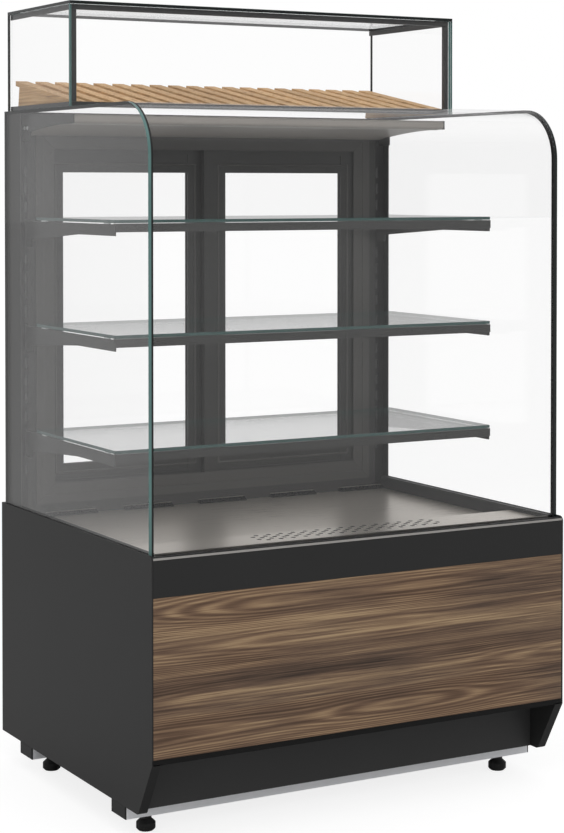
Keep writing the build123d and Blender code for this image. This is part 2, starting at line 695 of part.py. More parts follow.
def sash_frame(y):
    """Two stiles and two rails with glazing groove, recessed rail faces, finger pull and roller pockets."""
    y0 = y - SASH_DEPTH / 2
    y1 = y + SASH_DEPTH / 2
    x0 = SASH_END - SASH_WIDTH
    x_meeting = x0 + STILE_MEETING
    x_outer = SASH_END - STILE_OUTER
    meeting = box(x0, x_meeting, y0, y1, SASH_BOTTOM, SASH_TOP)
    outer = box(x_outer, SASH_END, y0, y1, SASH_BOTTOM, SASH_TOP)
    middle_z = (SASH_BOTTOM + SASH_TOP) / 2
    pull_x = x_outer + STILE_OUTER / 2
    pull = box(
        pull_x - PULL_WIDTH / 2,
        pull_x + PULL_WIDTH / 2,
        y1 - PULL_DEPTH,
        y1 + 1,
        middle_z - PULL_HEIGHT / 2,
        middle_z + PULL_HEIGHT / 2,
    )
    pull = fillet(pull.edges().filter_by(Axis.Y), PULL_WIDTH / 2 - 0.5)
    outer -= pull
    bottom_top = SASH_BOTTOM + SASH_BOTTOM_RAIL
    top_bottom = SASH_TOP - SASH_TOP_RAIL
    bottom = box(x_meeting, x_outer, y0, y1, SASH_BOTTOM, bottom_top)
    top = box(x_meeting, x_outer, y0, y1, top_bottom, SASH_TOP)
    for face, inward in ((y0, 1), (y1, -1)):
        deep = face + inward * RECESS_DEPTH
        bottom -= box(x_meeting, x_outer, face, deep, bottom_top - BEAD / 2 - RAIL_RECESS, bottom_top - BEAD / 2)
        top -= box(x_meeting, x_outer, face, deep, top_bottom + BEAD, top_bottom + BEAD + RAIL_RECESS)
    axle_z = FLOOR_Z + FIT + ROLLER_RADIUS
    pocket_half = ROLLER_WIDTH / 2 + RECESS_DEPTH / 4
    reach = ROLLER_RADIUS + POCKET_CLEARANCE
    for x in roller_places():
        bottom -= box(x - reach, x + reach, y - pocket_half, y + pocket_half, SASH_BOTTOM - 1, axle_z + reach)
        bottom -= Pos(x, y, axle_z) * Rot(90, 0, 0) * bore(AXLE_RADIUS + RUNNING_FIT, SASH_DEPTH + 2)
    groove = sash_glass(y)
    size = groove.bounding_box()
    groove = box(
        size.min.X - FIT, size.max.X + FIT, size.min.Y - FIT, size.max.Y + FIT, size.min.Z - FIT, size.max.Z + FIT
    )
    return [piece - groove for piece in (meeting, outer, bottom, top)]


# Shelves
def shelf_glass(top):
    """Glass shelf, eased at its corners."""
    pane = box(-SHELF_HALF_WIDTH, SHELF_HALF_WIDTH, SHELF_FRONT_Y, SHELF_REAR_Y, top - SHELF_GLASS, top)
    return fillet(pane.edges().filter_by(Axis.Z), 3.0)


def shelf_bracket(top):
    """Right cantilever bracket: tapered arm, deep hook plate and two hooks through the pillar's slots."""
    front = SHELF_FRONT_Y + SHEET
    rear = PILLAR_Y - FIT
    seat = top - SHELF_GLASS - PAD_THICKNESS
    plate_front = rear - HOOK_PLATE_DEPTH
    outline = [
        (front, seat),
        (rear, seat),
        (rear, top - HOOK_PLATE_DROP),
        (plate_front, top - HOOK_PLATE_DROP),
        (plate_front, top - BRACKET_REAR_DROP),
        (SHELF_FRONT_Y + BRACKET_STRAIGHT, top - BRACKET_FRONT_DROP),
        (front, top - BRACKET_FRONT_DROP),
    ]
    x0 = SLOT_X - BRACKET_THICKNESS / 2
    x1 = SLOT_X + BRACKET_THICKNESS / 2
    bracket = along_x(outline, x0, x1)
    bracket = fillet(edges_along_x(bracket, plate_front, top - HOOK_PLATE_DROP), 6.0)
    behind = PILLAR_Y + SHEET + FIT
    for drop in (HOOK_DROP, HOOK_DROP + SLOT_PITCH):
        z = top - drop
        bracket += box(x0, x1, rear, behind, z - HOOK_HEIGHT / 2 + HOOK_LIP, z + HOOK_HEIGHT / 2)
        bracket += box(x0, x1, behind, behind + HOOK_REACH, z - HOOK_HEIGHT / 2 - HOOK_LIP, z + HOOK_HEIGHT / 2)
    return bracket


def shelf_front_rail(top):
    """Angle rail across the front of a shelf, joined to the brackets' front ends."""
    high = top - SHELF_GLASS - PAD_THICKNESS / 2
    face = SHELF_FRONT_Y
    rail = box(-SHELF_HALF_WIDTH, SHELF_HALF_WIDTH, face, face + SHEET, high - SHELF_RAIL_HEIGHT, high)
    inner = SLOT_X - BRACKET_THICKNESS / 2 - FIT
    rail += box(-inner, inner, face, face + SHELF_RAIL_DEPTH, high - SHEET, high)
    return rail


def shelf_pads():
    """Rubber pads between the brackets and the glass of every shelf."""
    pads = []
    for top in SHELF_TOPS:
        high = top - SHELF_GLASS
        for y in (SHELF_FRONT_Y + PAD_INSET, SHELF_REAR_Y - PAD_INSET):
            pad = box(
                SLOT_X - PAD_WIDTH / 2,
                SLOT_X + PAD_WIDTH / 2 - SHEET,
                y - PAD_LENGTH / 2,
                y + PAD_LENGTH / 2,
                high - PAD_THICKNESS,
                high,
            )
            pads += both_sides(pad)
    return pads


# Lamp canopy
def canopy_outline(rear):
    """Section of the canopy from its nose to the given rear depth, with an arched underside."""
    nose = PILLAR_Y - CANOPY_REACH
    low = ROOF_UNDER - CANOPY_NOSE_BOTTOM + GLASS
    high = ROOF_UNDER - CANOPY_NOSE_TOP + GLASS
    rear_low = ROOF_UNDER - CANOPY_REAR_DROP + GLASS
    middle_y = nose + (rear - nose) * 0.52
    middle_z = ROOF_UNDER - CANOPY_MID_DROP + GLASS
    front_edge = Line((0, nose, high), (0, nose, low))
    under = ThreePointArc((0, nose, low), (0, middle_y, middle_z), (0, rear, rear_low))
    back = Line((0, rear, rear_low), (0, rear, ROOF_UNDER - FIT))
    top = Line((0, rear, ROOF_UNDER - FIT), (0, nose, high))
    return make_face(Wire([front_edge, under, back, top]))


def canopy_sheet():
    """Hollow canopy between the arms, rounded at its nose."""
    half = SLOT_X + SLOT_OFFSET
    rear = PILLAR_Y - 2 * FIT
    face = canopy_outline(rear)
    nose = PILLAR_Y - CANOPY_REACH
    corners = face.vertices().filter_by(lambda v: abs(v.Y - nose) < 0.01)
    face = fillet(corners, CANOPY_NOSE_RADIUS)
    inner = offset(face, amount=-CANOPY_SKIN)
    solid = extrude(face, amount=half, dir=(1, 0, 0), both=True)
    solid -= extrude(inner, amount=half + 1, dir=(1, 0, 0), both=True)
    low = ROOF_TOP - CANOPY_NOSE_BOTTOM
    front = nose + LAMP_SETBACK - FIT
    slot_half = SLOT_X + FIT
    return solid - box(-slot_half, slot_half, front, front + LAMP_DEPTH + 2 * FIT, low - LAMP_HEIGHT, low + 2 * CANOPY_SKIN)


def canopy_arm():
    """Right arm of the canopy with its tab and the flange that screws to the pillar."""
    rear = PILLAR_Y
    x0 = SLOT_X + SLOT_OFFSET
    arm = Pos(x0, 0, 0) * extrude(canopy_outline(rear), amount=ARM_THICKNESS, dir=(1, 0, 0))
    low = ROOF_UNDER - ARM_TAB_DROP + GLASS
    tab_front = rear - ARM_TAB_DEPTH
    high = ROOF_UNDER - CANOPY_NOSE_BOTTOM
    arm += box(x0, x0 + ARM_THICKNESS, tab_front, rear, low, high)
    arm += box(x0 - ARM_FLANGE, x0, rear - SHEET / 4, rear, low, ROOF_UNDER - CANOPY_REAR_DROP)
    return arm


def lamp_strip():
    """Lamp profile let into the underside of the canopy, with a rounded diffuser."""
    half = SLOT_X
    front = PILLAR_Y - CANOPY_REACH + LAMP_SETBACK
    low = ROOF_TOP - CANOPY_NOSE_BOTTOM - LAMP_PROUD
    strip = box(-half, half, front, front + LAMP_DEPTH, low, low + LAMP_HEIGHT)
    lower = strip.edges().filter_by(Axis.X).group_by(Axis.Z)[0]
    return fillet(lower, LAMP_PROUD)


# Bread box
def bread_box_panes():
    """Top, front and side panes of the bread box."""
    front = BOX_FRONT_Y
    rear = BOX_REAR_Y
    under = BOX_TOP - GLASS
    top = box(-BOX_HALF_WIDTH, BOX_HALF_WIDTH, front, rear, under, BOX_TOP)
    face = box(-BOX_HALF_WIDTH, BOX_HALF_WIDTH, front, front + GLASS, ROOF_TOP, under)
    side = box(BOX_HALF_WIDTH - GLASS, BOX_HALF_WIDTH, front + GLASS, rear, ROOF_TOP, under)
    return top, face, both_sides(side)


def bread_box_ring(z0, z1):
    """A front bar and two side bars just inside the panes."""
    front = BOX_FRONT_Y + GLASS
    inner = BOX_HALF_WIDTH - GLASS
    bars = [box(-inner, inner, front, front + BOX_PROFILE, z0, z1)]
    side = box(inner - BOX_PROFILE, inner, front + BOX_PROFILE, BOX_REAR_Y, z0, z1)
    return bars + both_sides(side)


def bread_box_posts():
    """Posts in the two front corners."""
    front = BOX_FRONT_Y + GLASS
    inner = BOX_HALF_WIDTH - GLASS
    post = box(
        inner - BOX_PROFILE,
        inner,
        front,
        front + BOX_PROFILE,
        ROOF_TOP + BOX_PROFILE,
        BOX_TOP - GLASS - BOX_PROFILE,
    )
    return both_sides(post)


def rack_line(y):
    """Height of the slats' underside at depth y."""
    start = BOX_FRONT_Y + GLASS + SLAT_CLEARANCE
    end = BOX_REAR_Y - SLAT_REAR_INSET
    return ROOF_TOP + BOX_PROFILE + SLAT_RISE * (y - start) / (end - start)


def bread_slats():
    """Slats that slope down to the front of the bread box, the outer two notched round the posts."""
    start = BOX_FRONT_Y + GLASS + SLAT_CLEARANCE
    end = BOX_REAR_Y - SLAT_REAR_INSET
    outline = [
        (start, rack_line(start)),
        (end, rack_line(end)),
        (end, rack_line(end) + SLAT_THICKNESS),
        (start, rack_line(start) + SLAT_THICKNESS),
    ]
    post_edge = BOX_HALF_WIDTH - GLASS - BOX_PROFILE - FIT
    post_back = BOX_FRONT_Y + GLASS + BOX_PROFILE + FIT
    post_room = both_sides(box(post_edge, WIDTH, FRONT, post_back, ROOF_TOP, BOX_TOP))
    first = -SLAT_PITCH * (SLAT_COUNT - 1) / 2
    slats = []
    for i in range(SLAT_COUNT):
        x = first + i * SLAT_PITCH
        slat = along_x(outline, x - SLAT_WIDTH / 2, x + SLAT_WIDTH / 2)
        top_edges = [e for e in slat.edges() if e.center().Z > rack_line(e.center().Y) + SLAT_THICKNESS - 0.1]
        long_edges = [e for e in top_edges if e.length > 100]
        slat = chamfer(long_edges, 1.0)
        slats.append(slat - post_room)
    return slats


def slat_carrier():
    """Wedge-shaped side boards and two battens under the slats."""
    front = BOX_FRONT_Y + GLASS + BOX_PROFILE + SLAT_CLEARANCE
    rear = BOX_REAR_Y - SLAT_REAR_INSET
    outer = BOX_HALF_WIDTH - GLASS - BOX_PROFILE - FIT
    inner = outer - BOARD_THICKNESS
    wedge = [(front, ROOF_TOP), (rear, ROOF_TOP), (rear, rack_line(rear)), (front, rack_line(front))]
    board = along_x(wedge, inner, outer)
    battens = []
    for y in (rear - BATTEN - BOARD_INSET, (front + rear) / 2):
        section = [
            (y, rack_line(y) - BATTEN_THICKNESS),
            (y + BATTEN, rack_line(y + BATTEN) - BATTEN_THICKNESS),
            (y + BATTEN, rack_line(y + BATTEN)),
            (y, rack_line(y)),
        ]
        battens.append(along_x(section, -inner, inner))
    return both_sides(board) + battens


# Electrical parts
def lamp_driver():
    """Driver box on the underfloor behind the rear cover."""
    floor = BASE_Z + SHEET
    rear = REAR_PANEL_Y - SHEET - REAR_PANEL_FLANGE - 2 * SHEET
    x = SWITCH_X - DRIVER_LENGTH
    block = box(x, x + DRIVER_LENGTH, rear - DRIVER_WIDTH, rear, floor, floor + DRIVER_HEIGHT)
    block = fillet(block.edges().filter_by(Axis.Z), 3.0)
    ear = box(x - BATTEN, x + DRIVER_LENGTH + BATTEN, rear - DRIVER_WIDTH + 8, rear - 8, floor, floor + SHEET)
    return block + ear


def light_switch_housing():
    """Snap-in switch body with a bezel on the rear cover."""
    half_w = SWITCH_WIDTH / 2 - FIT
    half_h = SWITCH_HEIGHT / 2 - FIT
    rim_w = SWITCH_WIDTH / 2 + SWITCH_BEZEL_RIM
    rim_h = SWITCH_HEIGHT / 2 + SWITCH_BEZEL_RIM
    face = REAR_PANEL_Y + SWITCH_BEZEL
    body = box(SWITCH_X - half_w, SWITCH_X + half_w, face - SWITCH_BODY_DEPTH, REAR_PANEL_Y, SWITCH_Z - half_h, SWITCH_Z + half_h)
    body += box(SWITCH_X - rim_w, SWITCH_X + rim_w, REAR_PANEL_Y, face, SWITCH_Z - rim_h, SWITCH_Z + rim_h)
    wall = 2.0
    well_w = half_w - wall
    well_h = half_h - wall
    well = box(SWITCH_X - well_w, SWITCH_X + well_w, face - SWITCH_BODY_DEPTH / 2, face + 1, SWITCH_Z - well_h, SWITCH_Z + well_h)
    pin = Pos(SWITCH_X, face - 3 * SWITCH_BEZEL, SWITCH_Z) * Rot(0, 90, 0) * bore(ROCKER_PIN_RADIUS + RUNNING_FIT, 2 * half_w - 1)
    return body - well - pin


def light_switch_rocker():
    """Rocker on its cross pin, tilted to the off side."""
    face = REAR_PANEL_Y + SWITCH_BEZEL
    pivot_y = face - 3 * SWITCH_BEZEL
    half_w = SWITCH_WIDTH / 2 - FIT - 2.0 - 0.5
    half_h = SWITCH_HEIGHT / 2 - FIT - 2.0 - 1.0
    back = 3.0
    crown = 3 * SWITCH_BEZEL - 0.5
    outline = [
        (-back, -half_h * 0.45),
        (-back, half_h * 0.45),
        (crown, half_h),
        (crown - 1.6, 0),
        (crown, -half_h),
    ]
    rocker = along_x(outline, -half_w, half_w)
    rocker += Rot(0, 90, 0) * pin(ROCKER_PIN_RADIUS, 2 * (half_w + 1.5))
    return Pos(SWITCH_X, pivot_y, SWITCH_Z) * Rot(ROCKER_TILT, 0, 0) * rocker


def solids_of(shape):
    """Every separate solid of a shape or of a list of shapes."""
    if isinstance(shape, (list, tuple)):
        found = []
        for piece in shape:
            found += solids_of(piece)
        return found
    return list(shape.solids())


def build_nodes():
    """All nodes of the display case by name."""
    top_pane, front_pane, side_panes = bread_box_panes()
    roof_bars = bread_box_ring(BOX_TOP - GLASS - BOX_PROFILE, BOX_TOP - GLASS)
    nodes = {
        "front_base_rail": base_rail(RAIL_CENTRES[0]),
        "rear_base_rail": base_rail(RAIL_CENTRES[1]),
        "rail_end_caps": [both_sides(rail_cap(y)) for y in RAIL_CENTRES],
        "foot_bushes": at_feet(rail_bush()),
        "right_side_panel": side_panel(),
        "left_side_panel": mirrored(side_panel()),
        "underfloor_panel": underfloor_panel(),
        "rear_base_panel": rear_base_panel(),
        "kick_plate": kick_plate(),
        "front_frame_sheet": front_frame_sheet(),
        "front_fascia": front_fascia(),
        "wood_front_panel": wood_front_panel(),
        "front_glazing_channel": front_glazing_channel(),
        "front_glazing_gasket": front_glazing_gasket(),
        "deck_support_angles": both_sides(deck_support_angle()),
        "display_deck": display_deck(),
        "front_deck_grille": front_deck_grille(),
        "deck_vents": [deck_vent(x) for x in vent_centres()],
        "right_side_glass": side_glass(),
        "left_side_glass": mirrored(side_glass()),
        "front_glass": front_glass(),
        "pane_joint_beads": both_sides(pane_joint()),
        "right_pillar": pillar(),
        "left_pillar": mirrored(pillar()),
        "rear_frame": rear_frame(),
        "shelf_pads": shelf_pads(),
        "canopy_sheet": canopy_sheet(),
        "canopy_arms": both_sides(canopy_arm()),
        "lamp_strip": lamp_strip(),
        "bread_box_top_glass": top_pane,
        "bread_box_front_glass": front_pane,
        "bread_box_side_glasses": side_panes,
        "bread_box_lower_frame": bread_box_ring(ROOF_TOP, ROOF_TOP + BOX_PROFILE),
        "bread_box_upper_frame": roof_bars + bread_box_posts(),
        "bread_slats": bread_slats(),
        "slat_carrier": slat_carrier(),
        "lamp_driver": lamp_driver(),
        "light_switch_housing": light_switch_housing(),
        "light_switch_rocker": light_switch_rocker(),
    }
    foot_names = ("front_left", "front_right", "rear_left", "rear_right")
    for name, foot in zip(foot_names, at_feet(levelling_foot())):
        nodes["levelling_foot_" + name] = foot
    for name, top in zip(("lower", "middle", "upper"), SHELF_TOPS):
        nodes[name + "_shelf_glass"] = shelf_glass(top)
        nodes[name + "_shelf_brackets"] = both_sides(shelf_bracket(top))
        nodes[name + "_shelf_rail"] = shelf_front_rail(top)
    nodes["right_sash_frame"] = sash_frame(FRONT_TRACK_Y)
    nodes["right_sash_glass"] = sash_glass(FRONT_TRACK_Y)
    nodes["left_sash_frame"] = [mirrored(piece) for piece in sash_frame(REAR_TRACK_Y)]
    nodes["left_sash_glass"] = mirrored(sash_glass(REAR_TRACK_Y))
    for place, x in zip(("inner", "outer"), roller_places()):
        nodes["right_sash_roller_" + place] = roller(x, FRONT_TRACK_Y)
        nodes["left_sash_roller_" + place] = mirrored(roller(x, REAR_TRACK_Y))
    return nodes


os.makedirs("parts", exist_ok=True)
NODES = build_nodes()
for node, shape in NODES.items():
    export_step(Compound(children=solids_of(shape)), "parts/" + node + ".step")
print(len(NODES), "nodes, sash travel", round(SASH_TRAVEL, 2))
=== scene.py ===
import math

import bmesh
import bpy
from bpy.props import FloatProperty, FloatVectorProperty, IntProperty, PointerProperty, StringProperty
from mathutils import Matrix, Vector


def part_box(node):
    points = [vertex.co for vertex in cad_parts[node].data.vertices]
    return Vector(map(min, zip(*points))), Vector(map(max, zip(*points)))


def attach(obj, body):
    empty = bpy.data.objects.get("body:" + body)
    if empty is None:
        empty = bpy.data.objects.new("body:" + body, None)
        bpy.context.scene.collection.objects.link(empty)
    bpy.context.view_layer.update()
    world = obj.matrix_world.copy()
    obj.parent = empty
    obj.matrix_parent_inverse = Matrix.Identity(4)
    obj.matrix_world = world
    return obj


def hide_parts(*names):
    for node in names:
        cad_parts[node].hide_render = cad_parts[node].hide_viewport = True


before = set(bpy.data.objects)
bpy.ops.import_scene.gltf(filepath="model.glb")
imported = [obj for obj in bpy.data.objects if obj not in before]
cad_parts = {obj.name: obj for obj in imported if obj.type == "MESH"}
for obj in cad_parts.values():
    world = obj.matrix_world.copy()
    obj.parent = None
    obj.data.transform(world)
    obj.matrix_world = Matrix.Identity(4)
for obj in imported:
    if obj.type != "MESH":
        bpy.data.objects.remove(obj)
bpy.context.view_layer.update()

bl_info = {
    "name": "Ambient display case",
    "version": (1, 0, 0),
    "blender": (4, 5, 0),
    "location": "View3D > Sidebar > Display case",
    "description": "Finishes for a glazed counter display case and the studio it stands in",
    "category": "Object",
}

MM = 0.001

# The photograph's height in pixels and the width of the camera's sensor in millimetres.
IMAGE_HEIGHT = 833
SENSOR = 36.0

# Clearances in millimetres: beside a pane, between and below bars and boards, and in a mitred corner.
PANE_GAP = 0.3
BAR_GAP = 0.2
MITRE_GAP = 0.3

# Spots of surface patterns in millimetres on X, Y and Z: the orange peel and the clouds of a sprayed coat,
# the clouds between brushed lines, a mould's grain, and the waves of a cut edge. The grain is finer on real
# plastic, and is drawn as coarse as it needs to show.
PEEL = 3 * (1.1,)
COAT_CLOUD = 3 * (166.67,)
BRUSH_CLOUD = 3 * (285.71,)
MOULD_GRAIN = 3 * (0.7,)
EDGE_WAVE = 3 * (25.0,)
# A brushed line: its width in millimetres, wider than a real one so that it shows, and its length in widths.
BRUSH_LINE = 0.9
FINE_BRUSH_LINE = 0.5
LINE_LENGTH = 90

# A pane's mirror: its share seen straight on, the power by which that grows with slant, and how sharply
# level faces are told from upright ones.
STRAIGHT_MIRROR = 0.04
SLANT_POWER = 5.0
LEVEL_SHARPNESS = 40.0
# The part of a normal along the axis of a pane's faces that parts them from its edges.
EDGE_TURN = 0.6
# How far before a bent pane's rear end, in millimetres, its surface counts as that end's edge.
END_REACH = 0.3
# Pane edges behind this depth in millimetres get painted shade, near black, for the dark of the uprights.
PAINTED_SHADE_BEHIND = 330.0

# The walnut front is this many boards high.
WALNUT_BOARDS = 4

# Cover bars of the rear frame, in millimetres: the outline of the ring as x0, x1, z0 and z1, and its
# section as how far each corner lies inside that outline and stands proud of the frame.
COVER_RING = (-400.0, 400.0, 530.0, 1300.0)
COVER_SECTION = ((0.0, 0.2), (0.0, 2.4), (17.0, 2.4), (17.6, 1.4), (40.4, 1.4), (41.0, 0.2))
CANOPY_CLEARANCE = 0.5
# Glazing beads: how far they start outside the pane that shows, and their section.
BEAD_REACH = 11.0
BEAD_SECTION = ((0.0, -0.1), (0.6, 1.0), (2.4, 1.3), (4.0, -0.1))

# Screws, in millimetres: before the rear ends of the canopy arms and above their foot, then across the rear
# cover and in from its lower and upper edge, and how high each kind of head is.
ARM_SCREW_SETBACKS = (30.0, 15.0)
ARM_SCREW_RISE = 26.5
ARM_HEAD_HEIGHT = 2.4
COVER_SCREW_X = (-410.0, -140.0, 140.0, 410.0)
COVER_SCREW_INSET = 22.0
COVER_HEAD_HEIGHT = 2.2
# A button head's outline: part of its radius and part of its height, from its back to the recess.
HEAD_OUTLINE = ((1.0, 0.0), (1.0, 0.25), (0.86, 0.7), (0.6, 1.0), (0.5, 1.0), (0.46, 0.3), (0.0, 0.3))

# Bread rack, in millimetres: where the slats start and how far they fall, the side boards' thickness, the
# ends of their foot and of their top, and the battens' places, depth and thickness.
SLATS = 20
SLAT_FRONT = 38.0
SLAT_FALL = 51.5
SIDE_BOARD = 12.0
SIDE_BOARD_FOOT = (50.0, 327.0)
SIDE_BOARD_TOP = (60.0, 319.0)
BATTENS = (180.0, 292.0)
BATTEN_DEPTH = 20.0
BATTEN_THICKNESS = 9.0

# Bars of the bread box, in millimetres: the frame's bars and the thin ones along the top of its sides.
BOX_BAR = 10.0
THIN_BAR = 3.0

# What mirrors show of the surround: its level in front of the case and behind it, the parts of a direction
# along Y between which it grows, and the parts along Z between which it grows to 1 overhead.
MIRRORED_FRONT = 0.3
MIRRORED_REAR = 0.62
REAR_TURN = (-1.0, 0.6)
OVERHEAD_TURN = (0.25, 0.9)
# Floor: half its width in metres, its linear colour to the light, and its colour and glow to the eye.
FLOOR_REACH = 60.0
FLOOR_LIT = (0.75, 0.75, 0.75, 1.0)
FLOOR_SHADE = (0.3, 0.3, 0.3, 1.0)
FLOOR_GLOW = 0.82


def box_mm(node):
    """The lowest and the highest corner of a CAD node, in millimetres."""
    return [[round(value / MM, 3) for value in corner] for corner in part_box(node)]


def linear(hex_colour):
    """The linear colour of an sRGB hex value."""
    channels = []
    for i in (1, 3, 5):
        value = int(hex_colour[i:i + 2], 16) / 255
        channels.append(value / 12.92 if value <= 0.04045 else ((value + 0.055) / 1.055) ** 2.4)
    return (*channels, 1.0)


def add_node(tree, kind, values=None, links=None, **settings):
    """Adds a node, sets its attributes and inputs, and links sockets, or nodes' first outputs, into it."""
    node = tree.nodes.new(kind)
    for name, value in settings.items():
        setattr(node, name, value)
    for name, value in (values or {}).items():
        node.inputs[name].default_value = value
    for name, source in (links or {}).items():
        output = source.outputs[0] if isinstance(source, bpy.types.Node) else source
        tree.links.new(output, node.inputs[name])
    return node


def new_material(name):
    """An empty node material and its tree."""
    material = bpy.data.materials.new(name)
    material.use_nodes = True
    material.node_tree.nodes.clear()
    return material, material.node_tree


def pattern(tree, across, place=None):
    """Coordinates for a pattern whose spots are `across` millimetres large on X, Y and Z."""
    if place is None:
        place = add_node(tree, "ShaderNodeTexCoord").outputs["Object"]
    scale = [1 / (size * MM) for size in across]
    return add_node(tree, "ShaderNodeMapping", {"Scale": scale}, {"Vector": place})


def set_stops(ramp, stops):
    """Gives a colour ramp its (position, hex colour) stops."""
    elements = ramp.color_ramp.elements
    while len(elements) < len(stops):
        elements.new(0.5)
    for element, (position, colour) in zip(elements, stops):
        element.position = position
        element.color = linear(colour)


def varied(tree, colour, by, low, high):
    """A hex colour whose lightness a 0 to 1 pattern takes from low to high times its own."""
    value = add_node(tree, "ShaderNodeMapRange", {"To Min": low, "To Max": high}, {"Value": by})
    return add_node(tree, "ShaderNodeHueSaturation", {"Color": linear(colour)}, {"Value": value})


def surface(tree, tone, rough, height, strength, depth, values=None):
    """Ends a material in a shader whose bump has a strength and a depth in millimetres."""
    bump = add_node(
        tree, "ShaderNodeBump", {"Strength": strength, "Distance": depth * MM}, {"Height": height}
    )
    links = {"Base Color": tone, "Roughness": rough, "Normal": bump}
    shader = add_node(tree, "ShaderNodeBsdfPrincipled", values, links)
    add_node(tree, "ShaderNodeOutputMaterial", links={"Surface": shader})


def powder_coat(name, colour, roughness=0.46, gloss=0.4):
    """Polyester powder, sprayed and baked."""
    # It gives the eye an even satin colour. A fine orange peel breaks up what it mirrors, and it is a
    # little lighter and darker in large soft clouds.
    material, tree = new_material(name)
    peel = add_node(
        tree, "ShaderNodeTexNoise", {"Scale": 1.0, "Detail": 3.0}, {"Vector": pattern(tree, PEEL)}
    )
    cloud = add_node(
        tree, "ShaderNodeTexNoise", {"Scale": 1.0, "Detail": 2.0}, {"Vector": pattern(tree, COAT_CLOUD)}
    )
    limits = {"To Min": roughness - 0.02, "To Max": roughness + 0.02}
    rough = add_node(tree, "ShaderNodeMapRange", limits, {"Value": peel})
    tone = varied(tree, colour, cloud, 0.94, 1.06)
    surface(tree, tone, rough, peel, 0.03, 0.1, {"Specular IOR Level": gloss})
    return material


def brushed_metal(name, colour, roughness, along, line=BRUSH_LINE, metallic=1.0):
    """Sheet brushed with a belt along an axis, 0, 1 or 2 for X, Y or Z, in lines so many millimetres wide."""
    # It gives the eye long hair lines one way, which blur what it mirrors across them, and soft patches
    # where the belt bore harder.
    material, tree = new_material(name)
    across = 3 * [line]
    across[along] = LINE_LENGTH * line
    streaks = add_node(
        tree, "ShaderNodeTexNoise", {"Scale": 1.0, "Detail": 4.0}, {"Vector": pattern(tree, across)}
    )
    cloud = add_node(
        tree, "ShaderNodeTexNoise", {"Scale": 1.0, "Detail": 2.0}, {"Vector": pattern(tree, BRUSH_CLOUD)}
    )
    limits = {"To Min": roughness - 0.08, "To Max": roughness + 0.06}
    lined = add_node(tree, "ShaderNodeMapRange", limits, {"Value": streaks})
    rough = add_node(tree, "ShaderNodeMath", {1: 0.08}, {0: cloud, 2: lined}, operation="MULTIPLY_ADD")
    tone = varied(tree, colour, streaks, 0.88, 1.1)
    surface(tree, tone, rough, streaks, 0.06, 0.1, {"Metallic": metallic})
    return material


def moulded(name, colour, roughness):
    """Injection moulded plastic or rubber."""
    # It gives the eye one even colour, dulled by the fine spark-eroded grain of its mould.
    material, tree = new_material(name)
    grain = add_node(
        tree, "ShaderNodeTexNoise", {"Scale": 1.0, "Detail": 2.0}, {"Vector": pattern(tree, MOULD_GRAIN)}
    )
    limits = {"To Min": roughness - 0.06, "To Max": roughness + 0.06}
    rough = add_node(tree, "ShaderNodeMapRange", limits, {"Value": grain})
    surface(tree, varied(tree, colour, grain, 0.9, 1.08), rough, grain, 0.1, 0.1)
    return material


def shaded_copy(name, finish, limits, shade_colour="#0a0a0a", facing=None):
    """A copy of a finish with painted shade: dark between limits in millimetres on |X|, Y and Z, None for no
    limit.

    `facing` narrows that to faces whose normal has more than this part of it towards the front.
    """
    material = finish.copy()
    material.name = name
    tree = material.node_tree
    shader = next(node for node in tree.nodes if node.type == "BSDF_PRINCIPLED")
    place = add_node(tree, "ShaderNodeTexCoord").outputs["Object"]
    parts = add_node(tree, "ShaderNodeSeparateXYZ", links={0: place})
    from_middle = add_node(tree, "ShaderNodeMath", links={0: parts.outputs["X"]}, operation="ABSOLUTE")
    sides = {"X": from_middle, "Y": parts.outputs["Y"], "Z": parts.outputs["Z"]}
    tests = []
    for axis, pair in limits.items():
        for limit, side in zip(pair, ("GREATER_THAN", "LESS_THAN")):
            if limit is not None:
                test = add_node(tree, "ShaderNodeMath", {1: limit * MM}, {0: sides[axis]}, operation=side)
                tests.append(test)
    if facing is not None:
        geometry = add_node(tree, "ShaderNodeNewGeometry")
        normal = add_node(tree, "ShaderNodeSeparateXYZ", links={0: geometry.outputs["True Normal"]})
        forward = normal.outputs["Y"]
        tests.append(add_node(tree, "ShaderNodeMath", {1: -facing}, {0: forward}, operation="LESS_THAN"))
    within = tests[0]
    for test in tests[1:]:
        within = add_node(tree, "ShaderNodeMath", links={0: within, 1: test}, operation="MULTIPLY")
    tone = shader.inputs["Base Color"].links[0].from_socket
    shade = add_node(
        tree, "ShaderNodeMix", {7: linear(shade_colour)}, {0: within, 6: tone}, data_type="RGBA"
    )
    tree.links.new(shade.outputs[2], shader.inputs["Base Color"])
    return material


def ground_edges(tree, faces, rear_end):
    """1 on a pane's edges and 0 on its faces, which look along an axis or, if bent, never along X."""
    geometry = add_node(tree, "ShaderNodeNewGeometry")
    normal = add_node(tree, "ShaderNodeSeparateXYZ", links={0: geometry.outputs["True Normal"]})
    axis, test = ("X", "GREATER_THAN") if faces == "bent" else (faces, "LESS_THAN")
    size = add_node(tree, "ShaderNodeMath", links={0: normal.outputs[axis]}, operation="ABSOLUTE")
    edges = add_node(tree, "ShaderNodeMath", {1: EDGE_TURN}, {0: size}, operation=test)
    if rear_end is None:
        return edges
    place = add_node(tree, "ShaderNodeSeparateXYZ", links={0: geometry.outputs["Position"]})
    limit = (rear_end - END_REACH) * MM
    behind = add_node(tree, "ShaderNodeMath", {1: limit}, {0: place.outputs["Y"]}, operation="GREATER_THAN")
    return add_node(tree, "ShaderNodeMath", links={0: edges, 1: behind}, operation="MAXIMUM")


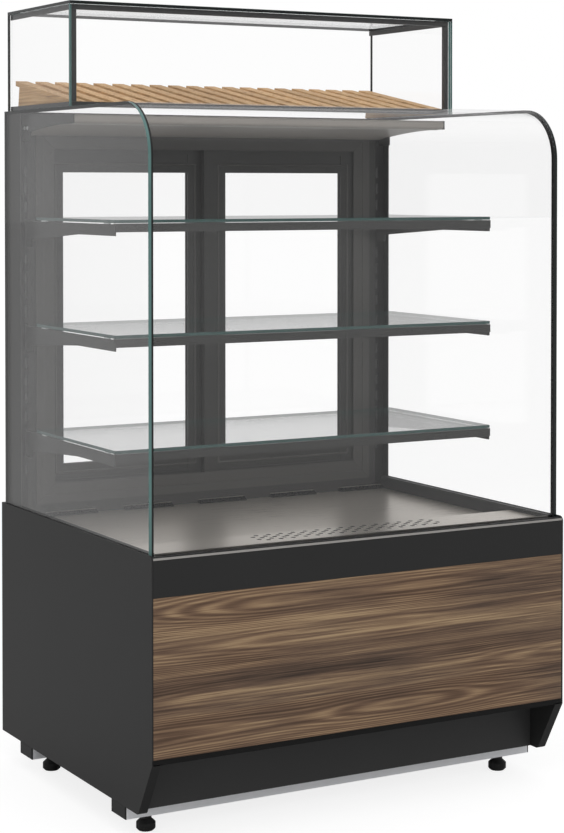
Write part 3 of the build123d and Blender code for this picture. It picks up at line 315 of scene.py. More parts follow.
def float_glass(name, faces, tint, edge_colour, mirror=1.0, level_mirror=None, rear_end=None):
    """Polished float glass with ground edges, thin enough to show what is behind it unbent.

    `mirror` scales what upright faces mirror, `level_mirror` what level ones do, and `rear_end` is the
    depth in millimetres at which a bent pane ends.
    """
    # It gives the eye clear faces that mirror more at a slant, and edges that show the iron in the glass.
    material, tree = new_material(name)
    polished = add_node(
        tree,
        "ShaderNodeBsdfPrincipled",
        {"Base Color": linear("#ffffff"), "Metallic": 1.0, "Roughness": 0.0},
    )
    clear = add_node(tree, "ShaderNodeBsdfTransparent", {"Color": linear(tint)})
    slant = add_node(tree, "ShaderNodeLayerWeight", {"Blend": 0.5}).outputs["Facing"]
    steep = add_node(tree, "ShaderNodeMath", {1: SLANT_POWER}, {0: slant}, operation="POWER")
    mirrored = add_node(
        tree, "ShaderNodeMapRange", {"To Min": STRAIGHT_MIRROR, "To Max": 1.0}, {"Value": steep}
    )
    geometry = add_node(tree, "ShaderNodeNewGeometry")
    normal = add_node(tree, "ShaderNodeSeparateXYZ", links={0: geometry.outputs["Normal"]})
    level = add_node(tree, "ShaderNodeMath", links={0: normal.outputs["Z"]}, operation="ABSOLUTE")
    flat = add_node(tree, "ShaderNodeMath", {1: LEVEL_SHARPNESS}, {0: level}, operation="POWER")
    limits = {"To Min": mirror, "To Max": mirror if level_mirror is None else level_mirror}
    strength = add_node(tree, "ShaderNodeMapRange", limits, {"Value": flat})
    share = add_node(tree, "ShaderNodeMath", links={0: mirrored, 1: strength}, operation="MULTIPLY")
    face = add_node(tree, "ShaderNodeMixShader", links={0: share, 1: clear, 2: polished})
    wave = add_node(
        tree, "ShaderNodeTexNoise", {"Scale": 1.0, "Detail": 2.0}, {"Vector": pattern(tree, EDGE_WAVE)}
    )
    tone = varied(tree, edge_colour, wave, 0.8, 1.2)
    # Painted shade: pane edges deep in the case are mixed to near black, for the dark of the uprights.
    depth = add_node(tree, "ShaderNodeSeparateXYZ", links={0: geometry.outputs["Position"]}).outputs["Y"]
    behind = add_node(tree, "ShaderNodeMath", {1: PAINTED_SHADE_BEHIND * MM}, {0: depth}, operation="GREATER_THAN")
    shaded = add_node(tree, "ShaderNodeMix", {7: linear("#070909")}, {0: behind, 6: tone}, data_type="RGBA")
    edge = add_node(
        tree, "ShaderNodeBsdfPrincipled", {"Roughness": 0.22, "IOR": 1.5}, {"Base Color": shaded.outputs[2]}
    )
    where = ground_edges(tree, faces, rear_end)
    whole = add_node(tree, "ShaderNodeMixShader", links={0: where, 1: face, 2: edge})
    add_node(tree, "ShaderNodeOutputMaterial", links={"Surface": whole})
    return material


def walnut_board(name, sizes):
    """Walnut decor board, pressed and lacquered, as flat-sawn boards one above another."""
    # It gives the eye long nested rings that fade in and out, straight fibres with fine pores, and on each
    # board a heart and a tone of its own.
    tones = ((0.0, "#2e231c"), (0.22, "#47382e"), (0.48, "#675243"), (0.74, "#8a7259"), (1.0, "#b09674"))
    heartwood = linear("#86654a")
    heart_place = {"To Min": 0.3, "To Max": 0.7}
    # How far apart the boards' patterns lie, and what fibres, boards and warmth add to the tone.
    board_drift, fibre_share, board_share, warm_share = 9.0, 1.1, 0.14, 0.3
    ring_patches = {"From Min": 0.42, "From Max": 0.6, "To Min": 0.15, "To Max": 1.0}
    tone_range = {"From Min": 0.76, "From Max": 1.5}
    warm_patches = {"From Min": 0.35, "From Max": 0.65}
    # Spots of each pattern in millimetres on X, Y and Z; the fibres are as coarse as the render can show.
    warp_size, patch_size = (666.67, 1000.0, 142.86), (333.33, 1000.0, 200.0)
    fibre_size, band_size = (166.67, 1000.0, 2.6316), (1250.0, 1000.0, 26.316)

    material, tree = new_material(name)
    where = add_node(tree, "ShaderNodeTexCoord").outputs["Object"]
    place = add_node(tree, "ShaderNodeSeparateXYZ", links={0: where})
    above = add_node(
        tree, "ShaderNodeMath", {1: sizes.board_foot}, {0: place.outputs["Z"]}, operation="SUBTRACT"
    )
    count = add_node(tree, "ShaderNodeMath", {1: sizes.board_height}, {0: above}, operation="DIVIDE")
    board = add_node(tree, "ShaderNodeMath", links={0: count}, operation="FLOOR")
    across = add_node(tree, "ShaderNodeMath", links={0: count}, operation="FRACT")
    own = add_node(tree, "ShaderNodeTexWhiteNoise", links={"W": board}, noise_dimensions="1D")
    draws = add_node(tree, "ShaderNodeSeparateColor", links={0: own.outputs["Color"]}).outputs
    heart = add_node(tree, "ShaderNodeMapRange", heart_place, {"Value": draws[0]})
    off_heart = add_node(tree, "ShaderNodeMath", links={0: across, 1: heart}, operation="SUBTRACT")
    squared = add_node(tree, "ShaderNodeMath", {1: 2.0}, {0: off_heart}, operation="POWER")
    drift = add_node(tree, "ShaderNodeMath", {1: board_drift}, {0: draws[1]}, operation="MULTIPLY")
    moved = add_node(
        tree, "ShaderNodeCombineXYZ", links={"X": place.outputs["X"], "Y": drift, "Z": place.outputs["Z"]}
    )
    warp = add_node(
        tree,
        "ShaderNodeTexNoise",
        {"Scale": 1.0, "Detail": 2.0, "Roughness": 0.4},
        {"Vector": pattern(tree, warp_size, moved)},
    )
    bowl = add_node(tree, "ShaderNodeMath", {1: sizes.ring_bowl}, {0: squared}, operation="MULTIPLY")
    age = add_node(
        tree, "ShaderNodeMath", {1: sizes.ring_warp}, {0: warp, 2: bowl}, operation="MULTIPLY_ADD"
    )
    turn = add_node(tree, "ShaderNodeMath", {1: 2 * math.pi}, {0: age}, operation="MULTIPLY")
    wave = add_node(tree, "ShaderNodeMath", links={0: turn}, operation="SINE")
    patches = add_node(
        tree,
        "ShaderNodeTexNoise",
        {"Scale": 1.0, "Detail": 1.0},
        {"Vector": pattern(tree, patch_size, moved)},
    )
    shown = add_node(tree, "ShaderNodeMapRange", ring_patches, {"Value": patches})
    rings = add_node(tree, "ShaderNodeMath", links={0: wave, 1: shown}, operation="MULTIPLY")
    fibres = add_node(
        tree,
        "ShaderNodeTexNoise",
        {"Scale": 1.0, "Detail": 5.0, "Roughness": 0.65},
        {"Vector": pattern(tree, fibre_size)},
    )
    bands = add_node(
        tree,
        "ShaderNodeTexNoise",
        {"Scale": 1.0, "Detail": 3.0, "Roughness": 0.5},
        {"Vector": pattern(tree, band_size, moved)},
    )
    total = bands
    for share, part in ((sizes.ring_strength, rings), (fibre_share, fibres), (board_share, draws[2])):
        total = add_node(tree, "ShaderNodeMath", {1: share}, {0: part, 2: total}, operation="MULTIPLY_ADD")
    tone = add_node(
        tree,
        "ShaderNodeValToRGB",
        links={"Fac": add_node(tree, "ShaderNodeMapRange", tone_range, {"Value": total})},
    )
    set_stops(tone, tones)
    warmth = add_node(tree, "ShaderNodeMapRange", warm_patches, {"Value": patches})
    warm = add_node(tree, "ShaderNodeMath", {1: warm_share}, {0: warmth}, operation="MULTIPLY")
    mixed = add_node(tree, "ShaderNodeMix", {7: heartwood}, {0: warm, 6: tone}, data_type="RGBA")
    rough = add_node(tree, "ShaderNodeMapRange", {"To Min": 0.45, "To Max": 0.62}, {"Value": fibres})
    surface(tree, mixed.outputs[2], rough, fibres, 0.12, 0.2, {"Specular IOR Level": 0.3})
    return material


def oiled_oak(name, sizes):
    """Oak, planed and oiled."""
    # It gives the eye straight grain along each slat, and each slat a tone of its own.
    tones = ((0.25, "#a07a52"), (0.45, "#cfa576"), (0.62, "#e2bd8e"), (0.8, "#ecce9f"))
    grain_size = (3.8462, 142.86, 3.8462)
    material, tree = new_material(name)
    where = add_node(tree, "ShaderNodeTexCoord").outputs["Object"]
    across = add_node(tree, "ShaderNodeSeparateXYZ", links={0: where}).outputs["X"]
    count = add_node(tree, "ShaderNodeMath", {1: sizes.slat_pitch}, {0: across}, operation="DIVIDE")
    slat = add_node(tree, "ShaderNodeMath", links={0: count}, operation="FLOOR")
    own = add_node(tree, "ShaderNodeTexWhiteNoise", links={"W": slat}, noise_dimensions="1D")
    grain = add_node(
        tree,
        "ShaderNodeTexNoise",
        {"Scale": 1.0, "Detail": 4.0, "Roughness": 0.6},
        {"Vector": pattern(tree, grain_size)},
    )
    colour = add_node(tree, "ShaderNodeValToRGB", links={"Fac": grain})
    set_stops(colour, tones)
    value = add_node(
        tree, "ShaderNodeMapRange", {"To Min": 0.86, "To Max": 1.08}, {"Value": own.outputs["Value"]}
    )
    tone = add_node(tree, "ShaderNodeHueSaturation", links={"Color": colour, "Value": value})
    rough = add_node(tree, "ShaderNodeMapRange", {"To Min": 0.5, "To Max": 0.66}, {"Value": grain})
    surface(tree, tone, rough, grain, 0.15, 0.3, {"Specular IOR Level": 0.3})
    return material


def dress(material, *nodes):
    """Gives a material to CAD nodes."""
    for name in nodes:
        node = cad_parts[name]
        if not node.material_slots:
            node.data.materials.append(material)
        for slot in node.material_slots:
            slot.material = material


def soften(width, *nodes):
    """Breaks the sharp edges of CAD nodes with a bevel of a width in metres, so that they catch the light."""
    for name in nodes:
        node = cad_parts[name]
        weld = node.modifiers.new("joined_facets", "WELD")
        weld.merge_threshold = 0.01 * MM
        bevel = node.modifiers.new("broken_edges", "BEVEL")
        bevel.width = width
        bevel.segments = 2
        bevel.limit_method = "ANGLE"
        bevel.angle_limit = math.radians(35)


def bar(made, low, high):
    """Adds a bar between two corners, in millimetres."""
    size = [(b - a) * MM for a, b in zip(low, high)]
    centre = [(a + b) / 2 * MM for a, b in zip(low, high)]
    place = Matrix.Translation(centre) @ Matrix.Diagonal((*size, 1.0))
    bmesh.ops.create_cube(made, size=1.0, matrix=place)


def bar_pair(made, low, high):
    """Adds a bar on the right of the case and its mirror image on the left, in millimetres."""
    bar(made, (-high[0], *low[1:]), (-low[0], *high[1:]))
    bar(made, low, high)


def loft(made, near, far):
    """Adds the closed solid between two outlines of as many vertices."""
    made.faces.new(near)
    made.faces.new(list(reversed(far)))
    for i in range(len(near)):
        j = (i + 1) % len(near)
        made.faces.new((near[j], near[i], far[i], far[j]))


def prism(made, outline, x0, x1):
    """Adds a prism along X from an outline of (y, z) corners, in millimetres."""
    ends = [[made.verts.new((x * MM, y * MM, z * MM)) for y, z in outline] for x in (x0, x1)]
    loft(made, *ends)


def mitred_ring(made, outline, section, face):
    """Adds four mitred bars in front of the plane y = face, in millimetres.

    `outline` is x0, x1, z0 and z1. `section` gives each corner's distance inside it and before the plane.
    """
    x0, x1, z0, z1 = outline
    corners = ((x0, z0, 1, 1), (x1, z0, -1, 1), (x1, z1, -1, -1), (x0, z1, 1, -1))
    courses = ((1, 0), (0, 1), (-1, 0), (0, -1))
    for k, (run_x, run_z) in enumerate(courses):
        ends = []
        for (x, z, to_x, to_z), back in ((corners[k], MITRE_GAP), (corners[(k + 1) % 4], -MITRE_GAP)):
            ring = []
            for inset, proud in section:
                point = (x + to_x * inset + run_x * back, face - proud, z + to_z * inset + run_z * back)
                ring.append(made.verts.new([value * MM for value in point]))
            ends.append(ring)
        loft(made, *ends)


def button_head(made, centre, axis, radius, height, facets):
    """Adds a screw's domed head with a round recess, its back on centre and its dome along axis."""
    turn = Vector((0, 0, 1)).rotation_difference(Vector(axis)).to_matrix()
    middle = Vector(centre) * MM
    rings = []
    for share, rise in HEAD_OUTLINE:
        ring = []
        for k in range(facets if share else 1):
            angle = 2 * math.pi * k / facets
            reach = share * radius
            point = Vector((reach * math.cos(angle), reach * math.sin(angle), rise * height)) * MM
            ring.append(made.verts.new(middle + turn @ point))
        rings.append(ring)
    made.faces.new(list(reversed(rings[0])))
    for low, high in zip(rings, rings[1:]):
        for k in range(facets):
            n = (k + 1) % facets
            inner = (high[0],) if len(high) == 1 else (high[n], high[k])
            made.faces.new((low[k], low[n], *inner))


def finish_piece(made, name, material, edge=0.0, body="cabinet"):
    """Turns a bmesh into a piece that rides on a body, with its edges broken by some millimetres."""
    bmesh.ops.recalc_face_normals(made, faces=made.faces[:])
    if edge:
        bmesh.ops.bevel(made, geom=made.edges[:], offset=edge * MM, segments=2, affect="EDGES", profile=0.7)
    mesh = bpy.data.meshes.new(name)
    made.to_mesh(mesh)
    made.free()
    mesh.materials.append(material)
    piece = bpy.data.objects.new(name, mesh)
    bpy.context.scene.collection.objects.link(piece)
    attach(piece, body)
    return piece


WALNUT_LOW, WALNUT_HIGH = box_mm("wood_front_panel")


class CaseColours(bpy.types.PropertyGroup):
    """Colours that a shop would choose, as sRGB hex values; the kick plate, cover bars and canopy are made
    paler, partly as painted light.
    """

    panels: StringProperty(
        name="Base panels", description="Powder coat of side panels and fascia", default="#2c2c2c"
    )
    kick: StringProperty(name="Kick plate", description="Powder coat of the kick plate", default="#3a3a3a")
    inside: StringProperty(
        name="Inner frame", description="Powder coat of pillars, sashes and shelves", default="#343433"
    )
    deck: StringProperty(name="Deck", description="Brushed steel of the deck", default="#e0d8ce")
    rails: StringProperty(name="Base rails", description="Satin steel of the base rails", default="#eeeff2")
    trim: StringProperty(
        name="Glazing strip", description="Anodised strip below the front glass", default="#bab7b3"
    )
    box_frame: StringProperty(
        name="Bread box frame", description="Coating of the bread box bars", default="#3d3d3d"
    )
    trim_coat: StringProperty(
        name="Cover bars", description="Powder coat of the cover bars and beads", default="#4a4947"
    )
    arms: StringProperty(name="Canopy arms", description="Powder coat of the canopy arms", default="#232323")
    canopy: StringProperty(
        name="Lamp canopy", description="Powder coat of the lamp canopy", default="#8d8780"
    )
    glass: StringProperty(name="Glass", description="Tint of the panes", default="#ffffff")
    glass_edge: StringProperty(name="Glass edge", description="Ground edges of the panes", default="#5b7c79")
    shelf_edge: StringProperty(
        name="Shelf edge", description="Polished front edges of the shelves", default="#35514e"
    )


class CaseSizes(bpy.types.PropertyGroup):
    """Sizes of the finishes and of small pieces."""

    board_foot: FloatProperty(
        name="Board foot", description="Height of the walnut's lower edge",
        default=WALNUT_LOW[2] * MM, unit="LENGTH", precision=4,
    )
    board_height: FloatProperty(
        name="Board height", description="Height of each walnut board",
        default=(WALNUT_HIGH[2] - WALNUT_LOW[2]) / WALNUT_BOARDS * MM, unit="LENGTH", precision=4,
    )
    ring_bowl: FloatProperty(
        name="Ring bowl", description="Rings across a whole board's height from its heart", default=22.0
    )
    ring_warp: FloatProperty(
        name="Ring warp", description="Growth rings that the grain wanders along", default=9.0
    )
    ring_strength: FloatProperty(name="Ring strength", description="How dark the rings are", default=0.19)
    slat_width: FloatProperty(
        name="Slat width", description="Width of an oak slat", default=0.027, unit="LENGTH", precision=4
    )
    slat_depth: FloatProperty(
        name="Slat thickness", description="Thickness of an oak slat",
        default=0.0105, unit="LENGTH", precision=4,
    )
    slat_pitch: FloatProperty(
        name="Slat pitch", description="Distance from slat to slat",
        default=0.0434, unit="LENGTH", precision=4,
    )
    edge_break: FloatProperty(
        name="Broken edge", description="Bevel on sheet metal edges",
        default=0.0005, unit="LENGTH", precision=4,
    )
    frame_edge: FloatProperty(
        name="Frame edge", description="Bevel on the bars of the inner frame",
        default=0.0008, unit="LENGTH", precision=4,
    )
    screw_radius: FloatProperty(
        name="Screw head radius", description="Radius of the button heads",
        default=0.004, unit="LENGTH", precision=4,
    )
    screw_facets: IntProperty(
        name="Screw facets", description="Facets round a screw head", default=24, min=8
    )


class StudioSettings(bpy.types.PropertyGroup):
    """Camera and light of the studio."""

    camera_place: FloatVectorProperty(
        name="Camera place", description="Where the camera stands",
        default=(-1.98847, -3.55659, 1.18006), subtype="XYZ", unit="LENGTH",
    )
    camera_turn: FloatProperty(
        name="Camera turn", description="Angle to the right of looking straight back",
        default=math.radians(29.37), subtype="ANGLE",
    )
    camera_tilt: FloatProperty(
        name="Camera tilt", description="Angle below level", default=math.radians(1.3), subtype="ANGLE"
    )
    focal_pixels: FloatProperty(
        name="Focal length", description="Focal length in pixels of the image", default=2024.38
    )
    shift: FloatProperty(
        name="Frame shift", description="Vertical shift as a share of the image height", default=-0.22
    )
    sky: FloatProperty(name="Sky light", description="Strength of the even light", default=0.72)
    key: FloatProperty(
        name="Key light", description="Power of the soft lamp above", default=26.0, unit="POWER"
    )
    lamp_place: FloatVectorProperty(
        name="Lamp place", description="Where the soft lamp hangs",
        default=(-0.8, -2.2, 3.2), subtype="XYZ", unit="LENGTH",
    )
    lamp_aim: FloatVectorProperty(
        name="Lamp aim", description="What the soft lamp points at",
        default=(0.0, 0.0, 0.9), subtype="XYZ", unit="LENGTH",
    )
    lamp_size: FloatVectorProperty(
        name="Lamp size", description="Width and length of the soft lamp",
        default=(3.0, 2.0), size=2, unit="LENGTH",
    )


class CASE_OT_stage(bpy.types.Operator):
    """Sets up the floor, the even white surround, one soft lamp and the camera"""

    bl_idname = "case.stage"
    bl_label = "Studio"

    def execute(self, context):
        studio = context.scene.case_studio
        context.scene.view_settings.view_transform = "Standard"
        self.surround(context, studio)
        self.floor(context)
        self.lamp(context, studio)
        self.camera(context, studio)
        return {"FINISHED"}

    def seen(self, tree, path):
        """1 for what the eye sees, straight or through glass."""
        rays = {0: path.outputs["Is Camera Ray"], 1: path.outputs["Is Transmission Ray"]}
        return add_node(tree, "ShaderNodeMath", links=rays, operation="MAXIMUM")

    def surround(self, context, studio):
        """White to the eye and through glass, graded in mirrors, a plain light level for everything else."""
        world = bpy.data.worlds.new("surround")
        context.scene.world = world
        world.use_nodes = True
        tree = world.node_tree
        tree.nodes.clear()
        path = add_node(tree, "ShaderNodeLightPath")
        where = add_node(tree, "ShaderNodeTexCoord").outputs["Generated"]
        side = add_node(tree, "ShaderNodeSeparateXYZ", links={0: where})
        rearward = {"From Min": REAR_TURN[0], "From Max": REAR_TURN[1]}
        rearward.update({"To Min": MIRRORED_FRONT, "To Max": MIRRORED_REAR})
        rear = add_node(tree, "ShaderNodeMapRange", rearward, {"Value": side.outputs["Y"]})
        upward = {"From Min": OVERHEAD_TURN[0], "From Max": OVERHEAD_TURN[1]}
        above = add_node(tree, "ShaderNodeMapRange", upward, {"Value": side.outputs["Z"]})
        brightest = add_node(tree, "ShaderNodeMath", links={0: rear, 1: above}, operation="MAXIMUM")
        glossy = path.outputs["Is Glossy Ray"]
        light = add_node(tree, "ShaderNodeMix", {2: studio.sky}, {0: glossy, 3: brightest})
        level = add_node(tree, "ShaderNodeMix", {3: 1.0}, {0: self.seen(tree, path), 2: light})
        sky = add_node(tree, "ShaderNodeBackground", {"Color": linear("#ffffff")}, {"Strength": level})
        add_node(tree, "ShaderNodeOutputWorld", links={"Surface": sky})

    def floor(self, context):
        """A large pale floor that reads white but still takes the shadow of the case."""
        made = bmesh.new()
        bmesh.ops.create_grid(made, x_segments=1, y_segments=1, size=FLOOR_REACH)
        mesh = bpy.data.meshes.new("floor")
        made.to_mesh(mesh)
        made.free()
        floor = bpy.data.objects.new("floor", mesh)
        context.scene.collection.objects.link(floor)
        # Pale studio paper: plain matt grey to the light, and to the eye white with a soft shadow.
        material, tree = new_material("pale floor")
        path = add_node(tree, "ShaderNodeLightPath")
        lit = add_node(tree, "ShaderNodeBsdfDiffuse", {"Color": FLOOR_LIT})
        shade = add_node(tree, "ShaderNodeBsdfDiffuse", {"Color": FLOOR_SHADE})
        glow = add_node(tree, "ShaderNodeEmission", {"Color": linear("#ffffff"), "Strength": FLOOR_GLOW})
        both = add_node(tree, "ShaderNodeAddShader", links={0: shade, 1: glow})
        mix = add_node(tree, "ShaderNodeMixShader", links={0: self.seen(tree, path), 1: lit, 2: both})
        add_node(tree, "ShaderNodeOutputMaterial", links={"Surface": mix})
        mesh.materials.append(material)

    def lamp(self, context, studio):
        """One large soft lamp above and in front."""
        lamp = bpy.data.lights.new("softbox", "AREA")
        lamp.shape = "RECTANGLE"
        lamp.size, lamp.size_y = studio.lamp_size
        lamp.energy = studio.key
        softbox = bpy.data.objects.new("softbox", lamp)
        context.scene.collection.objects.link(softbox)
        softbox.location = studio.lamp_place
        aim = Vector(studio.lamp_aim) - softbox.location
        softbox.rotation_mode = "QUATERNION"
        softbox.rotation_quaternion = aim.to_track_quat("-Z", "Y")

    def camera(self, context, studio):
        """The photograph's viewpoint."""
        camera = bpy.data.cameras.new("camera")
        camera.sensor_width = SENSOR
        camera.sensor_fit = "AUTO"
        camera.lens = studio.focal_pixels * SENSOR / IMAGE_HEIGHT
        camera.shift_y = studio.shift
        holder = bpy.data.objects.new("camera", camera)
        context.scene.collection.objects.link(holder)
        holder.location = studio.camera_place
        holder.rotation_euler = (math.pi / 2 - studio.camera_tilt, 0.0, -studio.camera_turn)
        context.scene.camera = holder


class CASE_OT_base(bpy.types.Operator):
    """Finishes the base: panels, fascia, kick plate, rails and feet"""

    bl_idname = "case.base"
    bl_label = "Base cabinet"

    def execute(self, context):
        colours = context.scene.case_colours
        sizes = context.scene.case_sizes
        kick_low, kick_high = box_mm("kick_plate")
        # Anthracite coat: almost black panels that hardly mirror the floor.
        panels = powder_coat("anthracite powder coat", colours.panels, gloss=0.2)
        dress(panels, "rear_base_panel", "front_fascia", "front_frame_sheet")
        # The same coat on the side panels, with painted shade: their slanting front edges below the walnut,
        # which lie in shadow, are painted near black.
        below_walnut = {"Z": (None, kick_high[2])}
        painted_edge_shade = shaded_copy("anthracite powder coat panel", panels, below_walnut, "#1c1c1c", 0.3)
        dress(painted_edge_shade, "left_side_panel", "right_side_panel")
        # Dark coat: a kick plate slightly paler than the panels, partly as painted light, so that it shows in
        # their shade.
        kick = powder_coat("dark powder coat", colours.kick, gloss=0.2)
        dress(kick, "underfloor_panel")
        # The same coat with painted shade: a black line along the lip that closes the walnut's lower edge,
        # where the walnut casts its shadow.
        front_of_lip = {"Y": (kick_low[1] - 0.5, kick_low[1] + 1.5)}
        painted_lip_shade = shaded_copy("dark powder coat kick", kick, front_of_lip, "#0d0d0d")
        dress(painted_lip_shade, "kick_plate")
        # Satin steel tube: pale and soft, brushed along its length.
        rails = brushed_metal("satin steel tube", colours.rails, 0.45, 0, metallic=0.2)
        dress(rails, "front_base_rail", "rear_base_rail")
        # Black plastic: dull caps and feet with a soft highlight.
        plastic = moulded("black moulded plastic", "#0d0d0d", 0.55)
        dress(plastic, "rail_end_caps", "lamp_driver", "light_switch_housing", "light_switch_rocker")
        for corner in ("front_left", "front_right", "rear_left", "rear_right"):
            dress(plastic, "levelling_foot_" + corner)
        # Zinc plate: a mid grey metal with a broken shine.
        zinc = brushed_metal("zinc plated steel", "#9a9c9f", 0.4, 2)
        dress(zinc, "foot_bushes", "deck_support_angles")
        soften(sizes.edge_break, "left_side_panel", "right_side_panel", "front_fascia", "kick_plate")
        return {"FINISHED"}


class CASE_OT_walnut(bpy.types.Operator):
    """Finishes the walnut front"""

    bl_idname = "case.walnut"
    bl_label = "Walnut front"

    def execute(self, context):
        dress(walnut_board("walnut decor board", context.scene.case_sizes), "wood_front_panel")
        return {"FINISHED"}


class CASE_OT_deck(bpy.types.Operator):
    """Finishes the steel deck, its grille, vents and the glazing strip"""

    bl_idname = "case.deck"
    bl_label = "Deck"

    def execute(self, context):
        colours = context.scene.case_colours
        grille_low, grille_high = box_mm("front_deck_grille")
        # Brushed stainless steel: a warm grey floor with lines along the case and a blurred mirror.
        steel = brushed_metal("brushed stainless steel", colours.deck, 0.27, 0, metallic=0.8)
        # The same steel with painted shade: black under the grille, so that its holes read as holes.
        painted_grille_shade = {"Y": (None, grille_high[1])}
        dress(shaded_copy("brushed stainless steel deck", steel, painted_grille_shade), "display_deck")
        # The same steel with painted shade: black inside the grille's folded rim and below its top.
        fold, side_rim, skin = 2.0, 6.7, 0.1
        holes = {
            "X": (None, grille_high[0] - side_rim),
            "Y": (grille_low[1] + fold, grille_high[1] - fold),
            "Z": (None, grille_high[2] - skin),
        }
        dress(shaded_copy("brushed stainless steel grille", steel, holes, "#050505"), "front_deck_grille")
        # The same steel with painted shade: dark in the slots of the vents.
        slot_depth = 0.8
        slots = {"Z": (None, box_mm("deck_vents")[1][2] - slot_depth)}
        dress(shaded_copy("brushed stainless steel vents", steel, slots, "#0d0d0d"), "deck_vents")
        # Anodised aluminium: a pale satin line below the front glass, brushed more finely than the steel.
        strip = brushed_metal("anodised aluminium", colours.trim, 0.3, 0, FINE_BRUSH_LINE)
        dress(strip, "front_glazing_channel")
        # Black rubber: a matt line that mirrors almost nothing.
        rubber = moulded("black rubber", "#0c0c0c", 0.6)
        dress(rubber, "front_glazing_gasket", "pane_joint_beads")
        return {"FINISHED"}


class CASE_OT_glass(bpy.types.Operator):
    """Finishes every pane of the glass housing, the shelves and the sashes"""

    bl_idname = "case.glass"
    bl_label = "Glass"

    def execute(self, context):
        colours = context.scene.case_colours
        tint, edge = colours.glass, colours.glass_edge
        # Side pane: a clear sheet with a grey-green edge.
        dress(float_glass("float glass side pane", "X", tint, edge), "left_side_glass")
        # Far side pane: its edges turn away from the light and are painted almost black as shade.
        far_side = float_glass("float glass far side pane", "X", tint, "#131c1b", 0.6)
        dress(far_side, "right_side_glass")
        # Bent pane: edges painted near black as shade, a full mirror on the front and almost none on the
        # level roof.
        rear_end = box_mm("front_glass")[1][1]
        bent = float_glass("float glass bent pane", "bent", tint, "#16211f", 1.0, 0.03, rear_end)
        dress(bent, "front_glass")
        # Shelves: a mirror on top and a deep green edge along the front.
        shelf = float_glass("float glass shelf", "Z", tint, colours.shelf_edge)
        dress(shelf, "lower_shelf_glass", "middle_shelf_glass", "upper_shelf_glass")
        # Sash panes: a weaker mirror, so that the white behind them shows.
        sash = float_glass("float glass sash pane", "Y", tint, edge, 0.5)
        dress(sash, "left_sash_glass", "right_sash_glass")
        # Bread box front and top: clear sheets with a faint mirror, and a dark edge round the top.
        dress(float_glass("float glass box front", "Y", tint, edge, 0.35), "bread_box_front_glass")
        dress(float_glass("float glass box top", "Z", tint, "#121a19", 0.35), "bread_box_top_glass")
        # Bread box sides: clear sheets with a green edge, half as bright in the mirror.
        box_side = float_glass("float glass box side", "X", tint, edge, 0.5)
        low, high = box_mm("bread_box_side_glasses")
        inner = box_mm("bread_box_upper_frame")[1][0] + PANE_GAP
        panes = bmesh.new()
        bar_pair(panes, (inner, low[1] + PANE_GAP, low[2] + PANE_GAP), (high[0], high[1], high[2] - PANE_GAP))
        piece = finish_piece(panes, "bread_box_side_panes", box_side, 0.4)
        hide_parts("bread_box_side_glasses")
        return {"FINISHED"}


class CASE_OT_inside(bpy.types.Operator):
    """Finishes pillars, rear frame, sashes, shelf brackets and canopy"""

    bl_idname = "case.inside"
    bl_label = "Inner frame"

    def execute(self, context):
        colours = context.scene.case_colours
        sizes = context.scene.case_sizes
        # Grey coat: dark satin bars that stay readable behind the glass.
        inside = powder_coat("grey powder coat", colours.inside, 0.4)
        dress(inside, "rear_frame", "left_sash_frame", "right_sash_frame")
        for level in ("lower", "middle", "upper"):
            dress(inside, level + "_shelf_brackets", level + "_shelf_rail")
        # The same coat with painted shade: black inside the folded uprights, so that their slots read as
        # holes.
        inner_wall, front_wall, outer_wall = 1.2, 2.2, 1.5
        low, high = box_mm("right_pillar")
        painted_hollow_shade = {
            "X": (low[0] + inner_wall, high[0] - outer_wall),
            "Y": (low[1] + front_wall, high[1] - outer_wall),
        }
        shaded_uprights = shaded_copy("grey powder coat uprights", inside, painted_hollow_shade, "#060606")
        dress(shaded_uprights, "left_pillar", "right_pillar")
        # Dark grey coat: arms that stand out against the canopy.
        dress(powder_coat("dark grey powder coat", colours.arms, 0.4), "canopy_arms")
        # Warm grey coat: a pale sheet under the roof, its paleness partly painted light that stands in for
        # the light it takes.
        dress(powder_coat("warm grey powder coat", colours.canopy, 0.4), "canopy_sheet")
        # White nylon: small pale wheels with a dull shine.
        nylon = moulded("white nylon", "#e4e2da", 0.45)
        for hand in ("left", "right"):
            dress(nylon, hand + "_sash_roller_inner", hand + "_sash_roller_outer")
        # Opal acrylic: an even milky strip, unlit.
        dress(moulded("opal acrylic", "#a9a7a1", 0.35), "lamp_strip")
        # Clear soft rubber: pale pads that nearly vanish under the shelves.
        dress(moulded("clear soft rubber", "#c8cccc", 0.4), "shelf_pads")
        frames = ("left_pillar", "right_pillar", "rear_frame", "left_sash_frame", "right_sash_frame")
        soften(sizes.frame_edge, *frames)
        return {"FINISHED"}


